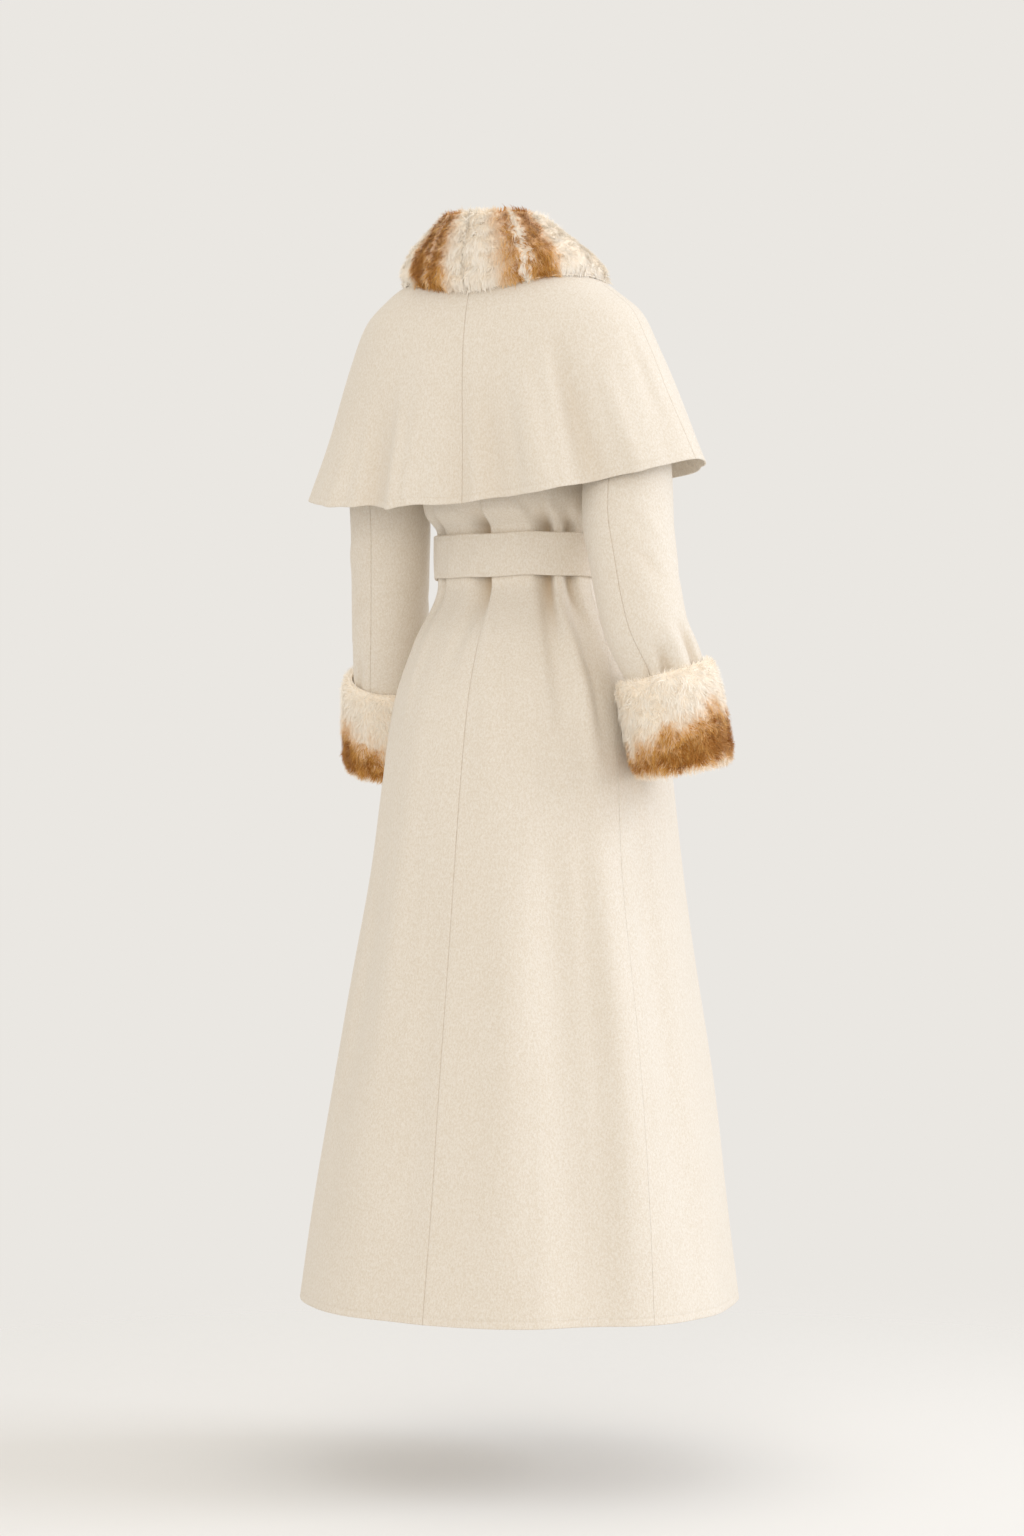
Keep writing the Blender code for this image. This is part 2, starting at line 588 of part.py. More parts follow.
def build_belt():
    angle = np.arange(BELT_COLUMNS) * 360.0 / BELT_COLUMNS
    soft = 0.0012
    section = (
        (BELT_TOP + soft, 0.0),
        (BELT_TOP, 0.5 * BELT_CLOTH),
        (BELT_TOP + soft, BELT_CLOTH),
        (BELT_FOOT - soft, BELT_CLOTH),
        (BELT_FOOT, 0.5 * BELT_CLOTH),
        (BELT_FOOT - soft, 0.0),
    )
    rings = [on_belt(angle, depth + 0.0 * angle, out + 0.0 * angle) for depth, out in section]
    ring_solid("belt_band", np.array(rings), CREAM)

    knot_angle, knot_depth = np.meshgrid(
        180.0 + KNOT_HALF_ANGLE * np.linspace(-1.0, 1.0, 9),
        np.linspace(KNOT_TOP, KNOT_FOOT, 7),
    )
    across = (knot_angle - 180.0) / KNOT_HALF_ANGLE
    down = (knot_depth - 0.5 * (KNOT_TOP + KNOT_FOOT)) / (0.5 * (KNOT_FOOT - KNOT_TOP))
    dome = np.sqrt(np.clip(1 - 0.85 * across ** 4, 0, 1)) * np.sqrt(np.clip(1 - 0.8 * down ** 4, 0, 1))
    behind = BELT_CLOTH + LAID_GAP
    inner = on_belt(knot_angle, knot_depth, behind + 0.0 * knot_angle)
    outer = on_belt(knot_angle, knot_depth, behind + KNOT_BULGE * dome)
    wall_solid("belt_knot", outer, inner, CREAM)

    for side in ("left", "right"):
        foot = BELT_END_FOOT[side]
        depths = np.array([BELT_FOOT + 0.0008] + [row for row in COAT_ROWS_SKIRT if row < foot] + [foot])
        middle = BELT_END_ANGLES[side]
        spread = np.linspace(-0.5, 0.5, 5)
        one_degree = plain_coat_point(middle + 1.0, depths) - plain_coat_point(middle, depths)
        turn = np.minimum(BELT_END_WIDTH / np.linalg.norm(one_degree, axis=-1), 20.0)
        end_angle = middle + turn[:, None] * spread
        end_depth = np.repeat(depths[:, None], len(spread), axis=1)
        normal = facing_out(coat_point, end_angle, end_depth)
        clear = BELT_GAP + belt_lift(end_angle)[..., None]
        inner = coat_point(end_angle, end_depth) + normal * clear
        wall_solid("belt_end_" + side, inner + normal * BELT_CLOTH, inner, CREAM)


for old in list(bpy.data.objects):
    bpy.data.objects.remove(old, do_unlink=True)
build_coat()
build_sleeves()
build_cuffs()
build_cape()
build_collar()
build_belt()
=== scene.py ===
"""The looks of a full-length belted wool coat with a shoulder cape, fur collar and fur cuffs.

Metres, in the part's own frame: +Z is up, -Y the front and +X the wearer's left. Angles go round the garment
from the back centre, positive towards the wearer's left, and depths go down from the base of the neck.
"""

from collections import namedtuple

import bpy
import numpy as np
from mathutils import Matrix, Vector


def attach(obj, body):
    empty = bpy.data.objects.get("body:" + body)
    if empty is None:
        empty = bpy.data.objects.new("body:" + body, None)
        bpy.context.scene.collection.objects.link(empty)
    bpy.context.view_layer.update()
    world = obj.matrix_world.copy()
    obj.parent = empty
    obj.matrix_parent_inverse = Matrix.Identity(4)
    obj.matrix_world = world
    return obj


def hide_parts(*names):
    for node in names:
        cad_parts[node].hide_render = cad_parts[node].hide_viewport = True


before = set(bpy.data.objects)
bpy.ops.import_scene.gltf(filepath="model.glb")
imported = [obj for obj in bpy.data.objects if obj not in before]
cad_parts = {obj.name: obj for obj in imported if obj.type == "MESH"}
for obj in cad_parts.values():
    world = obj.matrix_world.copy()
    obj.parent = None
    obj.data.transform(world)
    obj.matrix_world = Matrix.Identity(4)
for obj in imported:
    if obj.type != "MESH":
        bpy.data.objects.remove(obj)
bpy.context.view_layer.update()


# Coat body
# Two back panels and two lapped fronts of felted wool coating, cut with a flare, sewn down the back centre
# and the sides with pressed-open seams, and turned up at the hem. The belt pulls gathers into the waist.

CLOTH = 0.0022
SEAM_GAP = 0.0003

# A ring of the form: heights at back, side and front, half width, reach to back and front, and its centre
Ring = namedtuple("Ring", "z_back z_side z_front half_width back front centre_x centre_y")
COAT_RINGS = (
    Ring(-0.003, -0.001, -0.0988, 0.0690, 0.0660, 0.0980, 0.000, 0.000),
    Ring(-0.060, -0.028, -0.122, 0.1250, 0.0860, 0.1120, 0.000, 0.000),
    Ring(-0.110, -0.052, -0.150, 0.1600, 0.0960, 0.1200, 0.000, 0.000),
    Ring(-0.150, -0.120, -0.175, 0.1480, 0.0990, 0.1240, 0.000, -0.002),
    Ring(-0.205, -0.205, -0.205, 0.1280, 0.1000, 0.1220, -0.001, -0.008),
    Ring(-0.270, -0.270, -0.270, 0.1250, 0.1000, 0.1120, -0.002, -0.020),
    Ring(-0.318, -0.318, -0.318, 0.1235, 0.0980, 0.0980, -0.004, -0.032),
    Ring(-0.342, -0.342, -0.342, 0.1160, 0.0860, 0.0870, -0.006, -0.044),
    Ring(-0.409, -0.409, -0.409, 0.1160, 0.0860, 0.0870, -0.007, -0.045),
    Ring(-0.486, -0.486, -0.486, 0.1480, 0.1296, 0.1300, -0.010, -0.047),
    Ring(-0.565, -0.565, -0.565, 0.1745, 0.1670, 0.1650, -0.012, -0.050),
    Ring(-0.814, -0.814, -0.814, 0.2105, 0.2070, 0.2120, -0.011, -0.050),
    Ring(-1.080, -1.080, -1.080, 0.2565, 0.2400, 0.2370, -0.010, -0.043),
    Ring(-1.354, -1.354, -1.354, 0.2965, 0.2704, 0.2567, -0.009, -0.035),
)
COAT_FOOT = -COAT_RINGS[-1].z_back
BELT_TOP = 0.3470
BELT_FOOT = 0.4040
WAIST_DEPTH = 0.3755

# A gather falls gently on its left side and sharply on its right one, as cloth folds over itself
Gather = namedtuple("Gather", "angle left_width right_width depth reach_up reach_down")
WAIST_GATHERS = (
    Gather(3, 17, 3.0, 0.0150, 0.058, 0.100),
    Gather(47, 12, 4.0, 0.0115, 0.052, 0.100),
    Gather(-41, 15, 3.0, 0.0150, 0.056, 0.130),
    Gather(-58, 9, 4.5, 0.0120, 0.050, 0.100),
    Gather(84, 12, 9.0, 0.0080, 0.045, 0.080),
    Gather(-88, 12, 9.0, 0.0080, 0.045, 0.080),
    Gather(116, 14, 6.0, 0.0100, 0.050, 0.090),
    Gather(-118, 14, 6.0, 0.0100, 0.050, 0.090),
    Gather(146, 14, 6.0, 0.0100, 0.050, 0.090),
    Gather(-144, 14, 6.0, 0.0100, 0.050, 0.090),
)

# A flute grows from where it begins to the hem; its rise is outwards, or inwards below nothing
Flute = namedtuple("Flute", "angle half_width rise begins")
SKIRT_FLUTES = (
    Flute(-42, 13, -0.010, 0.430),
    Flute(-62, 16, 0.008, 0.420),
    Flute(-20, 18, 0.006, 0.700),
    Flute(10, 14, -0.004, 0.700),
    Flute(28, 18, 0.004, 0.800),
    Flute(-100, 20, -0.007, 0.600),
    Flute(-130, 18, 0.007, 0.600),
    Flute(95, 20, -0.005, 0.600),
    Flute(125, 20, 0.007, 0.600),
)

# A crease runs straight from one place to another and fades at both ends
Crease = namedtuple("Crease", "angle depth to_angle to_depth half_width rise")
COAT_CREASES = (
    Crease(-46, 0.390, -55, 0.680, 0.015, 0.0080),
    Crease(-36, 0.395, -43, 0.640, 0.018, -0.0075),
    Crease(9, 0.405, 15, 0.560, 0.016, -0.0040),
    Crease(-3, 0.410, -5, 0.540, 0.014, 0.0030),
    Crease(40, 0.410, 36, 0.620, 0.018, 0.0030),
    Crease(54, 0.410, 60, 0.560, 0.016, -0.0035),
    Crease(22, 0.300, 8, 0.352, 0.012, -0.0035),
    Crease(-26, 0.296, -37, 0.350, 0.012, -0.0030),
    Crease(-8, 0.420, -14, 0.800, 0.034, 0.0045),
    Crease(-34, 0.560, -36, 1.300, 0.038, -0.0070),
    Crease(-54, 0.560, -57, 1.380, 0.036, 0.0070),
    Crease(-20, 0.640, -20, 1.420, 0.036, 0.0050),
    Crease(-72, 0.560, -74, 1.300, 0.034, -0.0060),
    Crease(6, 0.700, 8, 1.420, 0.036, -0.0045),
    Crease(24, 0.480, 24, 1.300, 0.036, 0.0045),
    Crease(42, 0.560, 40, 1.300, 0.036, -0.0045),
    Crease(76, 0.420, 68, 0.720, 0.028, 0.0035),
    Crease(-76, 0.420, -70, 0.760, 0.028, -0.0035),
    Crease(-104, 0.420, -108, 0.760, 0.030, 0.0040),
    Crease(104, 0.420, 110, 0.780, 0.030, 0.0040),
    Crease(132, 0.420, 137, 0.700, 0.026, -0.0035),
    Crease(-133, 0.420, -138, 0.700, 0.026, -0.0035),
    Crease(160, 0.420, 164, 0.900, 0.030, 0.0030),
    Crease(-158, 0.420, -156, 0.880, 0.030, -0.0030),
)

# A wave in the cloth: its rise, how many there are in a turn, and how it shifts with depth
Wave = namedtuple("Wave", "rise turns per_metre phase")
SLOW_WAVES = (
    Wave(0.00070, 3, 9.0, 0.6),
    Wave(0.00070, 5, -14.0, 2.1),
    Wave(0.00049, 9, 21.0, 4.0),
)

SideSeam = namedtuple("SideSeam", "depth angle")
COAT_SIDE_SEAM = (
    SideSeam(0.003, 90.0),
    SideSeam(0.206, 90.0),
    SideSeam(0.318, 80.0),
    SideSeam(0.409, 74.0),
    SideSeam(0.640, 64.5),
    SideSeam(1.354, 59.5),
)
ARMHOLE_DEPTH = 0.158
ARMHOLE_HALF_HEIGHT = 0.0475
ARMHOLE_HALF_ANGLE = 32.0
LEFT_FRONT_EDGE = 192.0
RIGHT_FRONT_EDGE = 195.0
LAP_LIFT = 0.0045
LAP_BEGINS = 150.0
LAP_FULL = 163.0

# The flat cut of a panel: its widest and longest, and its area
Cut = namedtuple("Cut", "width length area")

# Steps of the mesh away from a sewn edge and from a turned one, whose stitches lie 9.5 mm in
SEAM_STEPS = (0.0, 0.0006, 0.0013, 0.0026, 0.0055)
HEM_STEPS = (0.0, 0.0003, 0.0010, 0.0025, 0.0055, 0.0085, 0.0095, 0.0105, 0.0135)
STITCHED_IN = 0.0095
SEAM_SINK = 0.0004
SEAM_ROLL = 0.0011
STITCH_SINK = 0.0003
STITCH_DENT = 0.0012
FOLD_RADIUS = 0.46                # of a turned edge, as a share of the cloth's thickness
LOOSE_BEGINS = 0.230              # the depths where the cloth starts to hang free, and does so fully
LOOSE_FULL = 0.280
BELT_HOLDS = 0.060                # how far above and below its middle the belt holds the cloth still
DEEPEST_GATHER = 0.015
PAINTED_SHADE_EDGE = 2.6                 # how sharply the painted shade of a gather begins
BACK_COLUMNS = 56
FRONT_COLUMNS = 50
ARMHOLE_ROWS = 19
WALK_POINTS = 121


def smooth(knots, values, at):
    """The curve through a table's rows that never swings past them."""
    knots = np.asarray(knots, float)
    values = np.asarray(values, float)
    at = np.clip(at, knots[0], knots[-1])
    step = np.diff(knots)
    slope = np.diff(values) / step
    tangent = np.empty_like(values)
    tangent[0] = slope[0]
    tangent[-1] = slope[-1]
    for k in range(1, len(values) - 1):
        before, after = slope[k - 1], slope[k]
        if before * after <= 0:
            tangent[k] = 0.0
        else:
            near = 2 * step[k] + step[k - 1]
            far = step[k] + 2 * step[k - 1]
            tangent[k] = (near + far) / (near / before + far / after)
    i = np.clip(np.searchsorted(knots, at, side="right") - 1, 0, len(step) - 1)
    u = (at - knots[i]) / step[i]
    return (
        values[i] * (1 + 2 * u) * (1 - u) ** 2
        + values[i + 1] * u * u * (3 - 2 * u)
        + step[i] * (tangent[i] * u * (1 - u) ** 2 + tangent[i + 1] * u * u * (u - 1))
    )


def column(table, name, knots, at):
    return smooth(knots, [getattr(row, name) for row in table], at)


def ease(low, high, value):
    u = np.clip((np.asarray(value, float) - low) / (high - low), 0.0, 1.0)
    return u * u * (3 - 2 * u)


def bump(offset, half_width):
    """A soft hump, one at its middle and nothing past its half width."""
    u = np.clip(np.abs(offset) / half_width, 0.0, 1.0)
    return (1 - u * u) ** 2


def turn_between(angle, other):
    return (angle - other + 180.0) % 360.0 - 180.0


def on_rings(table, angle, depth, level=4.0):
    """The point on a garment's plain form, and which way is straight out from it in plan."""
    angle, depth = np.broadcast_arrays(np.asarray(angle, float), np.asarray(depth, float))
    knots = [-row.z_back for row in table]
    ring = {name: column(table, name, knots, depth) for name in Ring._fields}
    sine, cosine = np.sin(np.radians(angle)), np.cos(np.radians(angle))
    reach = np.where(cosine > 0, ring["back"], ring["front"])
    z = ring["z_side"]
    z = z + (ring["z_back"] - ring["z_side"]) * np.maximum(cosine, 0.0) ** level
    z = z + (ring["z_front"] - ring["z_side"]) * np.maximum(-cosine, 0.0) ** level
    x = ring["centre_x"] + ring["half_width"] * sine
    y = ring["centre_y"] + reach * cosine
    point = np.stack((x, y, z), axis=-1)
    out = np.stack((sine / ring["half_width"], cosine / reach, np.zeros_like(sine)), axis=-1)
    return point, out / np.linalg.norm(out, axis=-1, keepdims=True)


def flute_rise(flutes, angle, depth, foot):
    rise = np.zeros(np.broadcast(angle, depth).shape)
    for flute in flutes:
        grown = ease(flute.begins, foot, depth)
        rise = rise + flute.rise * grown * bump(turn_between(angle, flute.angle), flute.half_width)
    return rise


def gather_depth(angle, depth):
    pulled = np.zeros(np.broadcast(angle, depth).shape)
    for gather in WAIST_GATHERS:
        fade = np.where(
            depth < WAIST_DEPTH,
            1 - ease(0.0, gather.reach_up, BELT_TOP - depth),
            1 - ease(0.0, gather.reach_down, depth - BELT_FOOT),
        )
        aside = turn_between(angle, gather.angle)
        side = np.where(aside > 0, gather.left_width, gather.right_width)
        pulled = pulled + gather.depth * fade * bump(aside, side * (1 + 0.6 * (1 - fade)))
    return pulled


def crease_rise(creases, angle, depth, metres_per_degree):
    """How far the given creases lift the cloth, or sink it."""
    lifted = np.zeros(np.broadcast(angle, depth).shape)
    for crease in creases:
        per_degree = metres_per_degree(0.5 * (crease.depth + crease.to_depth))
        run = turn_between(crease.to_angle, crease.angle) * per_degree
        fall = crease.to_depth - crease.depth
        length = np.hypot(run, fall)
        across = turn_between(angle, crease.angle) * per_degree
        down = depth - crease.depth
        travelled = (across * run + down * fall) / length ** 2
        aside = (across * fall - down * run) / length
        lifted = lifted + crease.rise * bump(2 * travelled - 1, 1.0) * bump(aside, crease.half_width)
    return lifted


def wavering(waves, angle, depth):
    turn = np.radians(angle)
    rise = np.zeros(np.broadcast(angle, depth).shape)
    for wave in waves:
        rise = rise + wave.rise * np.sin(wave.turns * turn + wave.per_metre * depth + wave.phase)
    return rise


def coat_degree(depth):
    ring_depths = [-row.z_back for row in COAT_RINGS]
    half_width = column(COAT_RINGS, "half_width", ring_depths, depth)
    return np.radians(0.5 * (half_width + column(COAT_RINGS, "back", ring_depths, depth)))


def plain_coat_point(angle, depth):
    return on_rings(COAT_RINGS, angle, depth)[0]


def coat_point(angle, depth):
    point, out = on_rings(COAT_RINGS, angle, depth)
    free = ease(LOOSE_BEGINS, LOOSE_FULL, depth) * (1 - bump(depth - WAIST_DEPTH, BELT_HOLDS))
    loose = crease_rise(COAT_CREASES, angle, depth, coat_degree) + wavering(SLOW_WAVES, angle, depth)
    rise = flute_rise(SKIRT_FLUTES, angle, depth, COAT_FOOT) - gather_depth(angle, depth) + free * loose
    return point + out * rise[..., None]


def coat_hollow(angle, depth):
    """How much painted shade lies in the gathers, from nothing to one, growing with their depth."""
    return np.clip(gather_depth(angle, depth) / DEEPEST_GATHER, 0.0, 1.0) ** PAINTED_SHADE_EDGE


def facing_out(surface, angle, depth, hand=1.0):
    """The outward normal of a surface given by an angle and a depth."""
    aside = 0.2
    below = 0.0004
    across = surface(angle + aside, depth) - surface(angle - aside, depth)
    down = surface(angle, depth + below) - surface(angle, depth - below)
    normal = np.cross(across, down) * hand
    return normal / np.linalg.norm(normal, axis=-1, keepdims=True)


def seam_turn(surface, angle, depth):
    """How far to turn from a seam to stand half its gap away."""
    speed = np.linalg.norm(surface(angle + 0.5, depth) - surface(angle - 0.5, depth), axis=-1)
    return 0.5 * SEAM_GAP / speed


def side_seam(depth):
    return smooth([row.depth for row in COAT_SIDE_SEAM], [row.angle for row in COAT_SIDE_SEAM], depth)


def armhole_angle(depth):
    u = np.clip((depth - ARMHOLE_DEPTH) / ARMHOLE_HALF_HEIGHT, -1.0, 1.0)
    return ARMHOLE_HALF_ANGLE * np.sqrt(1 - u * u)


def lap_lift(angle):
    return LAP_LIFT * ease(LAP_BEGINS, LAP_FULL, np.abs(angle))


def panel_grid(surface, edges, depths, columns, first_steps, last_steps):
    """The angles and depths of a panel's mesh, with its own steps beside each edge."""
    depths = np.asarray(depths, float)
    first, last = edges(depths)
    fine = first[:, None] + (last - first)[:, None] * np.linspace(0.0, 1.0, WALK_POINTS)
    walked = np.linalg.norm(np.diff(surface(fine, depths[:, None]), axis=1), axis=-1)
    walked = np.concatenate((np.zeros((len(depths), 1)), np.cumsum(walked, axis=1)), axis=1)
    angles = []
    for row, lengths in zip(fine, walked):
        middle = np.linspace(first_steps[-1], lengths[-1] - last_steps[-1], columns + 1)
        stops = np.concatenate((first_steps[:-1], middle, lengths[-1] - np.array(last_steps[-2::-1])))
        angles.append(np.interp(stops, lengths, row))
    angles = np.array(angles)
    return angles, np.repeat(depths[:, None], angles.shape[1], axis=1)


def turned_edge(distance, thickness):
    """How far each face draws in near an edge that is folded over."""
    radius = FOLD_RADIUS * thickness
    u = np.clip(distance / radius, 0.0, 1.0)
    return radius * (1 - np.sqrt(1 - (1 - u) ** 2))


def walked_lengths(points, axis):
    steps = np.linalg.norm(np.diff(points, axis=axis), axis=-1)
    start = np.zeros_like(np.take(steps, [0], axis=axis))
    return np.concatenate((start, np.cumsum(steps, axis=axis)), axis=axis)


def placed(name, data):
    """An object in the scene, of a mesh, a light or a camera."""
    thing = bpy.data.objects.new(name, data)
    bpy.context.scene.collection.objects.link(thing)
    return thing


def mesh_object(name, points, faces, corner_map, values):
    """A closed mesh with its own map and named values at its points, facing outwards."""
    mesh = bpy.data.meshes.new(name)
    mesh.from_pydata(points.tolist(), [], faces)
    layer = mesh.uv_layers.new(name="OFBake")
    layer.data.foreach_set("uv", np.asarray(corner_map, np.float32).ravel())
    for key, value in values.items():
        kind = "FLOAT_VECTOR" if value.ndim == 2 else "FLOAT"
        field = "vector" if value.ndim == 2 else "value"
        attribute = mesh.attributes.new(key, kind, "POINT")
        attribute.data.foreach_set(field, np.asarray(value, np.float32).ravel())
    corners = np.array([points[list(face[:4])] for face in faces if len(face) == 4])
    a, b, c, d = (corners[:, k] for k in range(4))
    volume = np.sum(a * (np.cross(b, c) + np.cross(c, d)))
    if volume < 0:
        mesh.flip_normals()
    mesh.shade_smooth()
    mesh.update()
    return placed(name, mesh)


def wall_object(name, outer, inner, values):
    """A closed wall between two grids; each face of the wall takes half of its map."""
    rows, columns = outer.shape[:2]
    behind = rows * columns
    rim = 0.015
    brim = 0.008                      # how far the wall's edges reach past its faces in the map
    across = np.linspace(rim, 0.5 - rim, columns)
    down = np.linspace(1.0 - rim, rim, rows)
    faces = []
    corner_map = []
    for row in range(rows - 1):
        for col in range(columns - 1):
            square = ((row, col), (row + 1, col), (row + 1, col + 1), (row, col + 1))
            faces.append([r * columns + c for r, c in square])
            corner_map += [(across[c], down[r]) for r, c in square]
            faces.append([behind + r * columns + c for r, c in reversed(square)])
            corner_map += [(0.5 + across[c], down[r]) for r, c in reversed(square)]
    top = [(0, col) for col in range(columns)]
    right = [(row, columns - 1) for row in range(rows)]
    foot = [(rows - 1, col) for col in range(columns - 1, -1, -1)]
    left = [(row, 0) for row in range(rows - 1, -1, -1)]
    sides = ((top, (0, brim)), (right, (brim, 0)), (foot, (0, -brim)), (left, (-brim, 0)))
    for side, beyond in sides:
        for here, there in zip(side, side[1:]):
            one = here[0] * columns + here[1]
            other = there[0] * columns + there[1]
            faces.append([one, other, behind + other, behind + one])
            near = [(across[c], down[r]) for r, c in (here, there)]
            far = [(u + beyond[0], v + beyond[1]) for u, v in (near[1], near[0])]
            corner_map += near + far
    points = np.concatenate((outer.reshape(-1, 3), inner.reshape(-1, 3)))
    both = {key: np.concatenate((value.ravel(), value.ravel())) for key, value in values.items()}
    return mesh_object(name, points, faces, corner_map, both)


def cloth_shell(name, surface, angle, depth, seams, hems, lift=None, hollow=None, thickness=CLOTH, hand=1.0):
    """A cloth panel with rolled seams and turned, stitched hems on the named sides."""
    normal = facing_out(surface, angle, depth, hand)
    face = surface(angle, depth)
    if lift is not None:
        face = face + normal * lift(angle)[..., None]
    across = walked_lengths(face, 1)
    down = walked_lengths(face, 0)
    away = {"first": across, "last": across[:, -1:] - across, "top": down, "foot": down[-1:] - down}
    far = np.full(angle.shape, 1.0)
    from_seam = np.minimum.reduce([far] + [away[side] for side in seams])
    from_hem = np.minimum.reduce([far] + [away[side] for side in hems])
    fold = turned_edge(from_hem, thickness)
    dent = STITCH_SINK * bump(from_hem - STITCHED_IN, STITCH_DENT)
    sunk = SEAM_SINK * np.exp(-(from_seam / SEAM_ROLL) ** 2) + fold + dent
    outer = face - normal * sunk[..., None]
    inner = face - normal * (thickness - fold)[..., None]
    values = {"from_seam": from_seam, "from_hem": from_hem}
    # Painted shade for folds and gathers, kept at the points for the cloth's colour
    if hollow is not None:
        values["hollow"] = hollow(angle, depth)
    return wall_object(name, outer, inner, values)


class Wire:
    """A socket in a node tree. Sums of wires add Math nodes, and add() brings in any other node."""

    def __init__(self, tree, socket=None):
        self.tree = tree
        self.socket = socket

    def add(self, kind, settings=None, inputs=None, output=0):
        node = self.tree.nodes.new(kind)
        for key, value in (settings or {}).items():
            setattr(node, key, value)
        open_inputs = [socket for socket in node.inputs if socket.enabled]
        for key, value in (inputs or {}).items():
            if isinstance(key, str):
                socket = next(found for found in open_inputs if found.name == key)
            else:
                socket = open_inputs[key]
            if isinstance(value, Wire):
                self.tree.links.new(value.socket, socket)
            else:
                socket.default_value = value
        open_outputs = [socket for socket in node.outputs if socket.enabled]
        if isinstance(output, str):
            return Wire(self.tree, next(found for found in open_outputs if found.name == output))
        return Wire(self.tree, open_outputs[output] if open_outputs else None)

    def maths(self, operation, *values):
        return self.add("ShaderNodeMath", {"operation": operation}, dict(enumerate(values)))

    def noise(self, scale, detail, distortion=0.0, output=0):
        """Cloudy noise at this place."""
        inputs = {"Vector": self, "Scale": scale, "Detail": detail, "Distortion": distortion}
        return self.add("ShaderNodeTexNoise", {}, inputs, output)

    def stored(self, name, output="Fac"):
        """A value kept at the points of a mesh."""
        return self.add("ShaderNodeAttribute", {"attribute_name": name}, output=output)

    def into(self, shader, name):
        self.tree.links.new(self.socket, shader.inputs[name])

    def __add__(self, other):
        return self.maths("ADD", self, other)

    def __radd__(self, other):
        return self.maths("ADD", other, self)

    def __sub__(self, other):
        return self.maths("SUBTRACT", self, other)

    def __rsub__(self, other):
        return self.maths("SUBTRACT", other, self)

    def __mul__(self, other):
        return self.maths("MULTIPLY", self, other)

    def __rmul__(self, other):
        return self.maths("MULTIPLY", other, self)

    def between(self, low, high):
        """Nothing below low, one above high, and a soft step between."""
        return self.add(
            "ShaderNodeMapRange",
            {"interpolation_type": "SMOOTHSTEP"},
            {"Value": self, "From Min": low, "From Max": high},
        )

    def blend(self, dark, light):
        """A colour from dark where this is nothing to light where it is one."""
        return self.add("ShaderNodeMix", {"data_type": "RGBA"}, {"Factor": self, "A": dark, "B": light})


def new_finish(name, **steady):
    """A material, the wire that starts its nodes, and its shader with its steady values."""
    material = bpy.data.materials.new(name)
    material.use_nodes = True
    shader = material.node_tree.nodes["Principled BSDF"]
    for key, value in steady.items():
        shader.inputs[key.replace("_", " ")].default_value = value
    return material, Wire(material.node_tree), shader


def wool_finish():
    """Felted coating: short fibres lying down the cloth, faint mottling and a soft bloom at the edges; the
    colour darkens along seams and stitches and carries painted shade in folds.
    """
    light_wool = (0.804, 0.747, 0.668, 1.0)
    dark_wool = (0.706, 0.626, 0.518, 1.0)
    seam_and_shade_brown = (0.500, 0.370, 0.230, 1.0)
    material, start, shader = new_finish(
        "wool_cloth",
        Sheen_Weight=0.25,
        Sheen_Roughness=0.45,
        Sheen_Tint=(1.0, 0.95, 0.86, 1.0),
        Specular_IOR_Level=0.15,
    )
    place = start.add("ShaderNodeTexCoord", output="Object")
    down_the_cloth = start.add("ShaderNodeMapping", {}, {"Vector": place, "Scale": (1.0, 1.0, 0.60)})
    mottle = down_the_cloth.noise(scale=470.0, detail=2.0)
    nap = down_the_cloth.noise(scale=900.0, detail=3.0)
    fibres = down_the_cloth.noise(scale=2600.0, detail=2.0)
    drift = place.noise(scale=9.0, detail=2.0)
    tone = 0.48 * mottle + 0.34 * nap + 0.14 * fibres + 0.06 * drift
    cloth = tone.between(0.36, 0.66).blend(dark_wool, light_wool)
    in_seam = 1.0 - start.stored("from_seam").between(0.0001, 0.0009)
    from_stitches = start.maths("ABSOLUTE", start.stored("from_hem") - STITCHED_IN)
    stitched = 1.0 - from_stitches.between(0.0001, 0.0013)
    # Darker along seams and the stitch line, and painted shade in gathers, sleeve dimples and between cape
    # flutes
    seams_and_painted_shade = 0.20 * in_seam + 0.05 * stitched + 0.85 * start.stored("hollow")
    height = 0.55 * nap + 0.35 * fibres + 0.30 * mottle
    relief = start.add("ShaderNodeBump", {}, {"Height": height, "Strength": 0.42, "Distance": 0.0011})
    seams_and_painted_shade.blend(cloth, seam_and_shade_brown).into(shader, "Base Color")
    (0.80 + 0.16 * nap).into(shader, "Roughness")
    relief.into(shader, "Normal")
    return material


WOOL = wool_finish()


def wear_wool(piece, node):
    """A finished wool piece: its material, the solid that it stands for and the body that it moves with."""
    piece.data.materials.append(WOOL)
    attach(piece, "root")
    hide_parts(node)


def rows_between(stops):
    """Depths from stop to stop; each stop is a depth and the step that follows it."""
    depths = [stops[0][0]]
    for (here, step), (there, _) in zip(stops, stops[1:]):
        count = max(1, round((there - here) / step))
        depths += list(here + (there - here) * np.arange(1, count + 1) / count)
    return np.array(depths)


def coat_rows():
    """Depths of the coat's rows, closest at the armholes, the gathers and the hem."""
    turns = np.linspace(-1.0, 1.0, ARMHOLE_ROWS)
    armhole = ARMHOLE_DEPTH + ARMHOLE_HALF_HEIGHT * np.sin(0.5 * np.pi * turns)
    above = rows_between(((-COAT_RINGS[0].z_back, 0.009), (armhole[0], 1.0)))[:-1]
    hem = COAT_FOOT - np.array(HEM_STEPS[::-1])
    stops = ((armhole[-1], 0.0080), (0.290, 0.0042), (0.440, 0.0070), (0.620, 0.0125), (hem[0], 1.0))
    below = rows_between(stops)
    return np.concatenate((above, armhole, below[1:], hem[1:]))


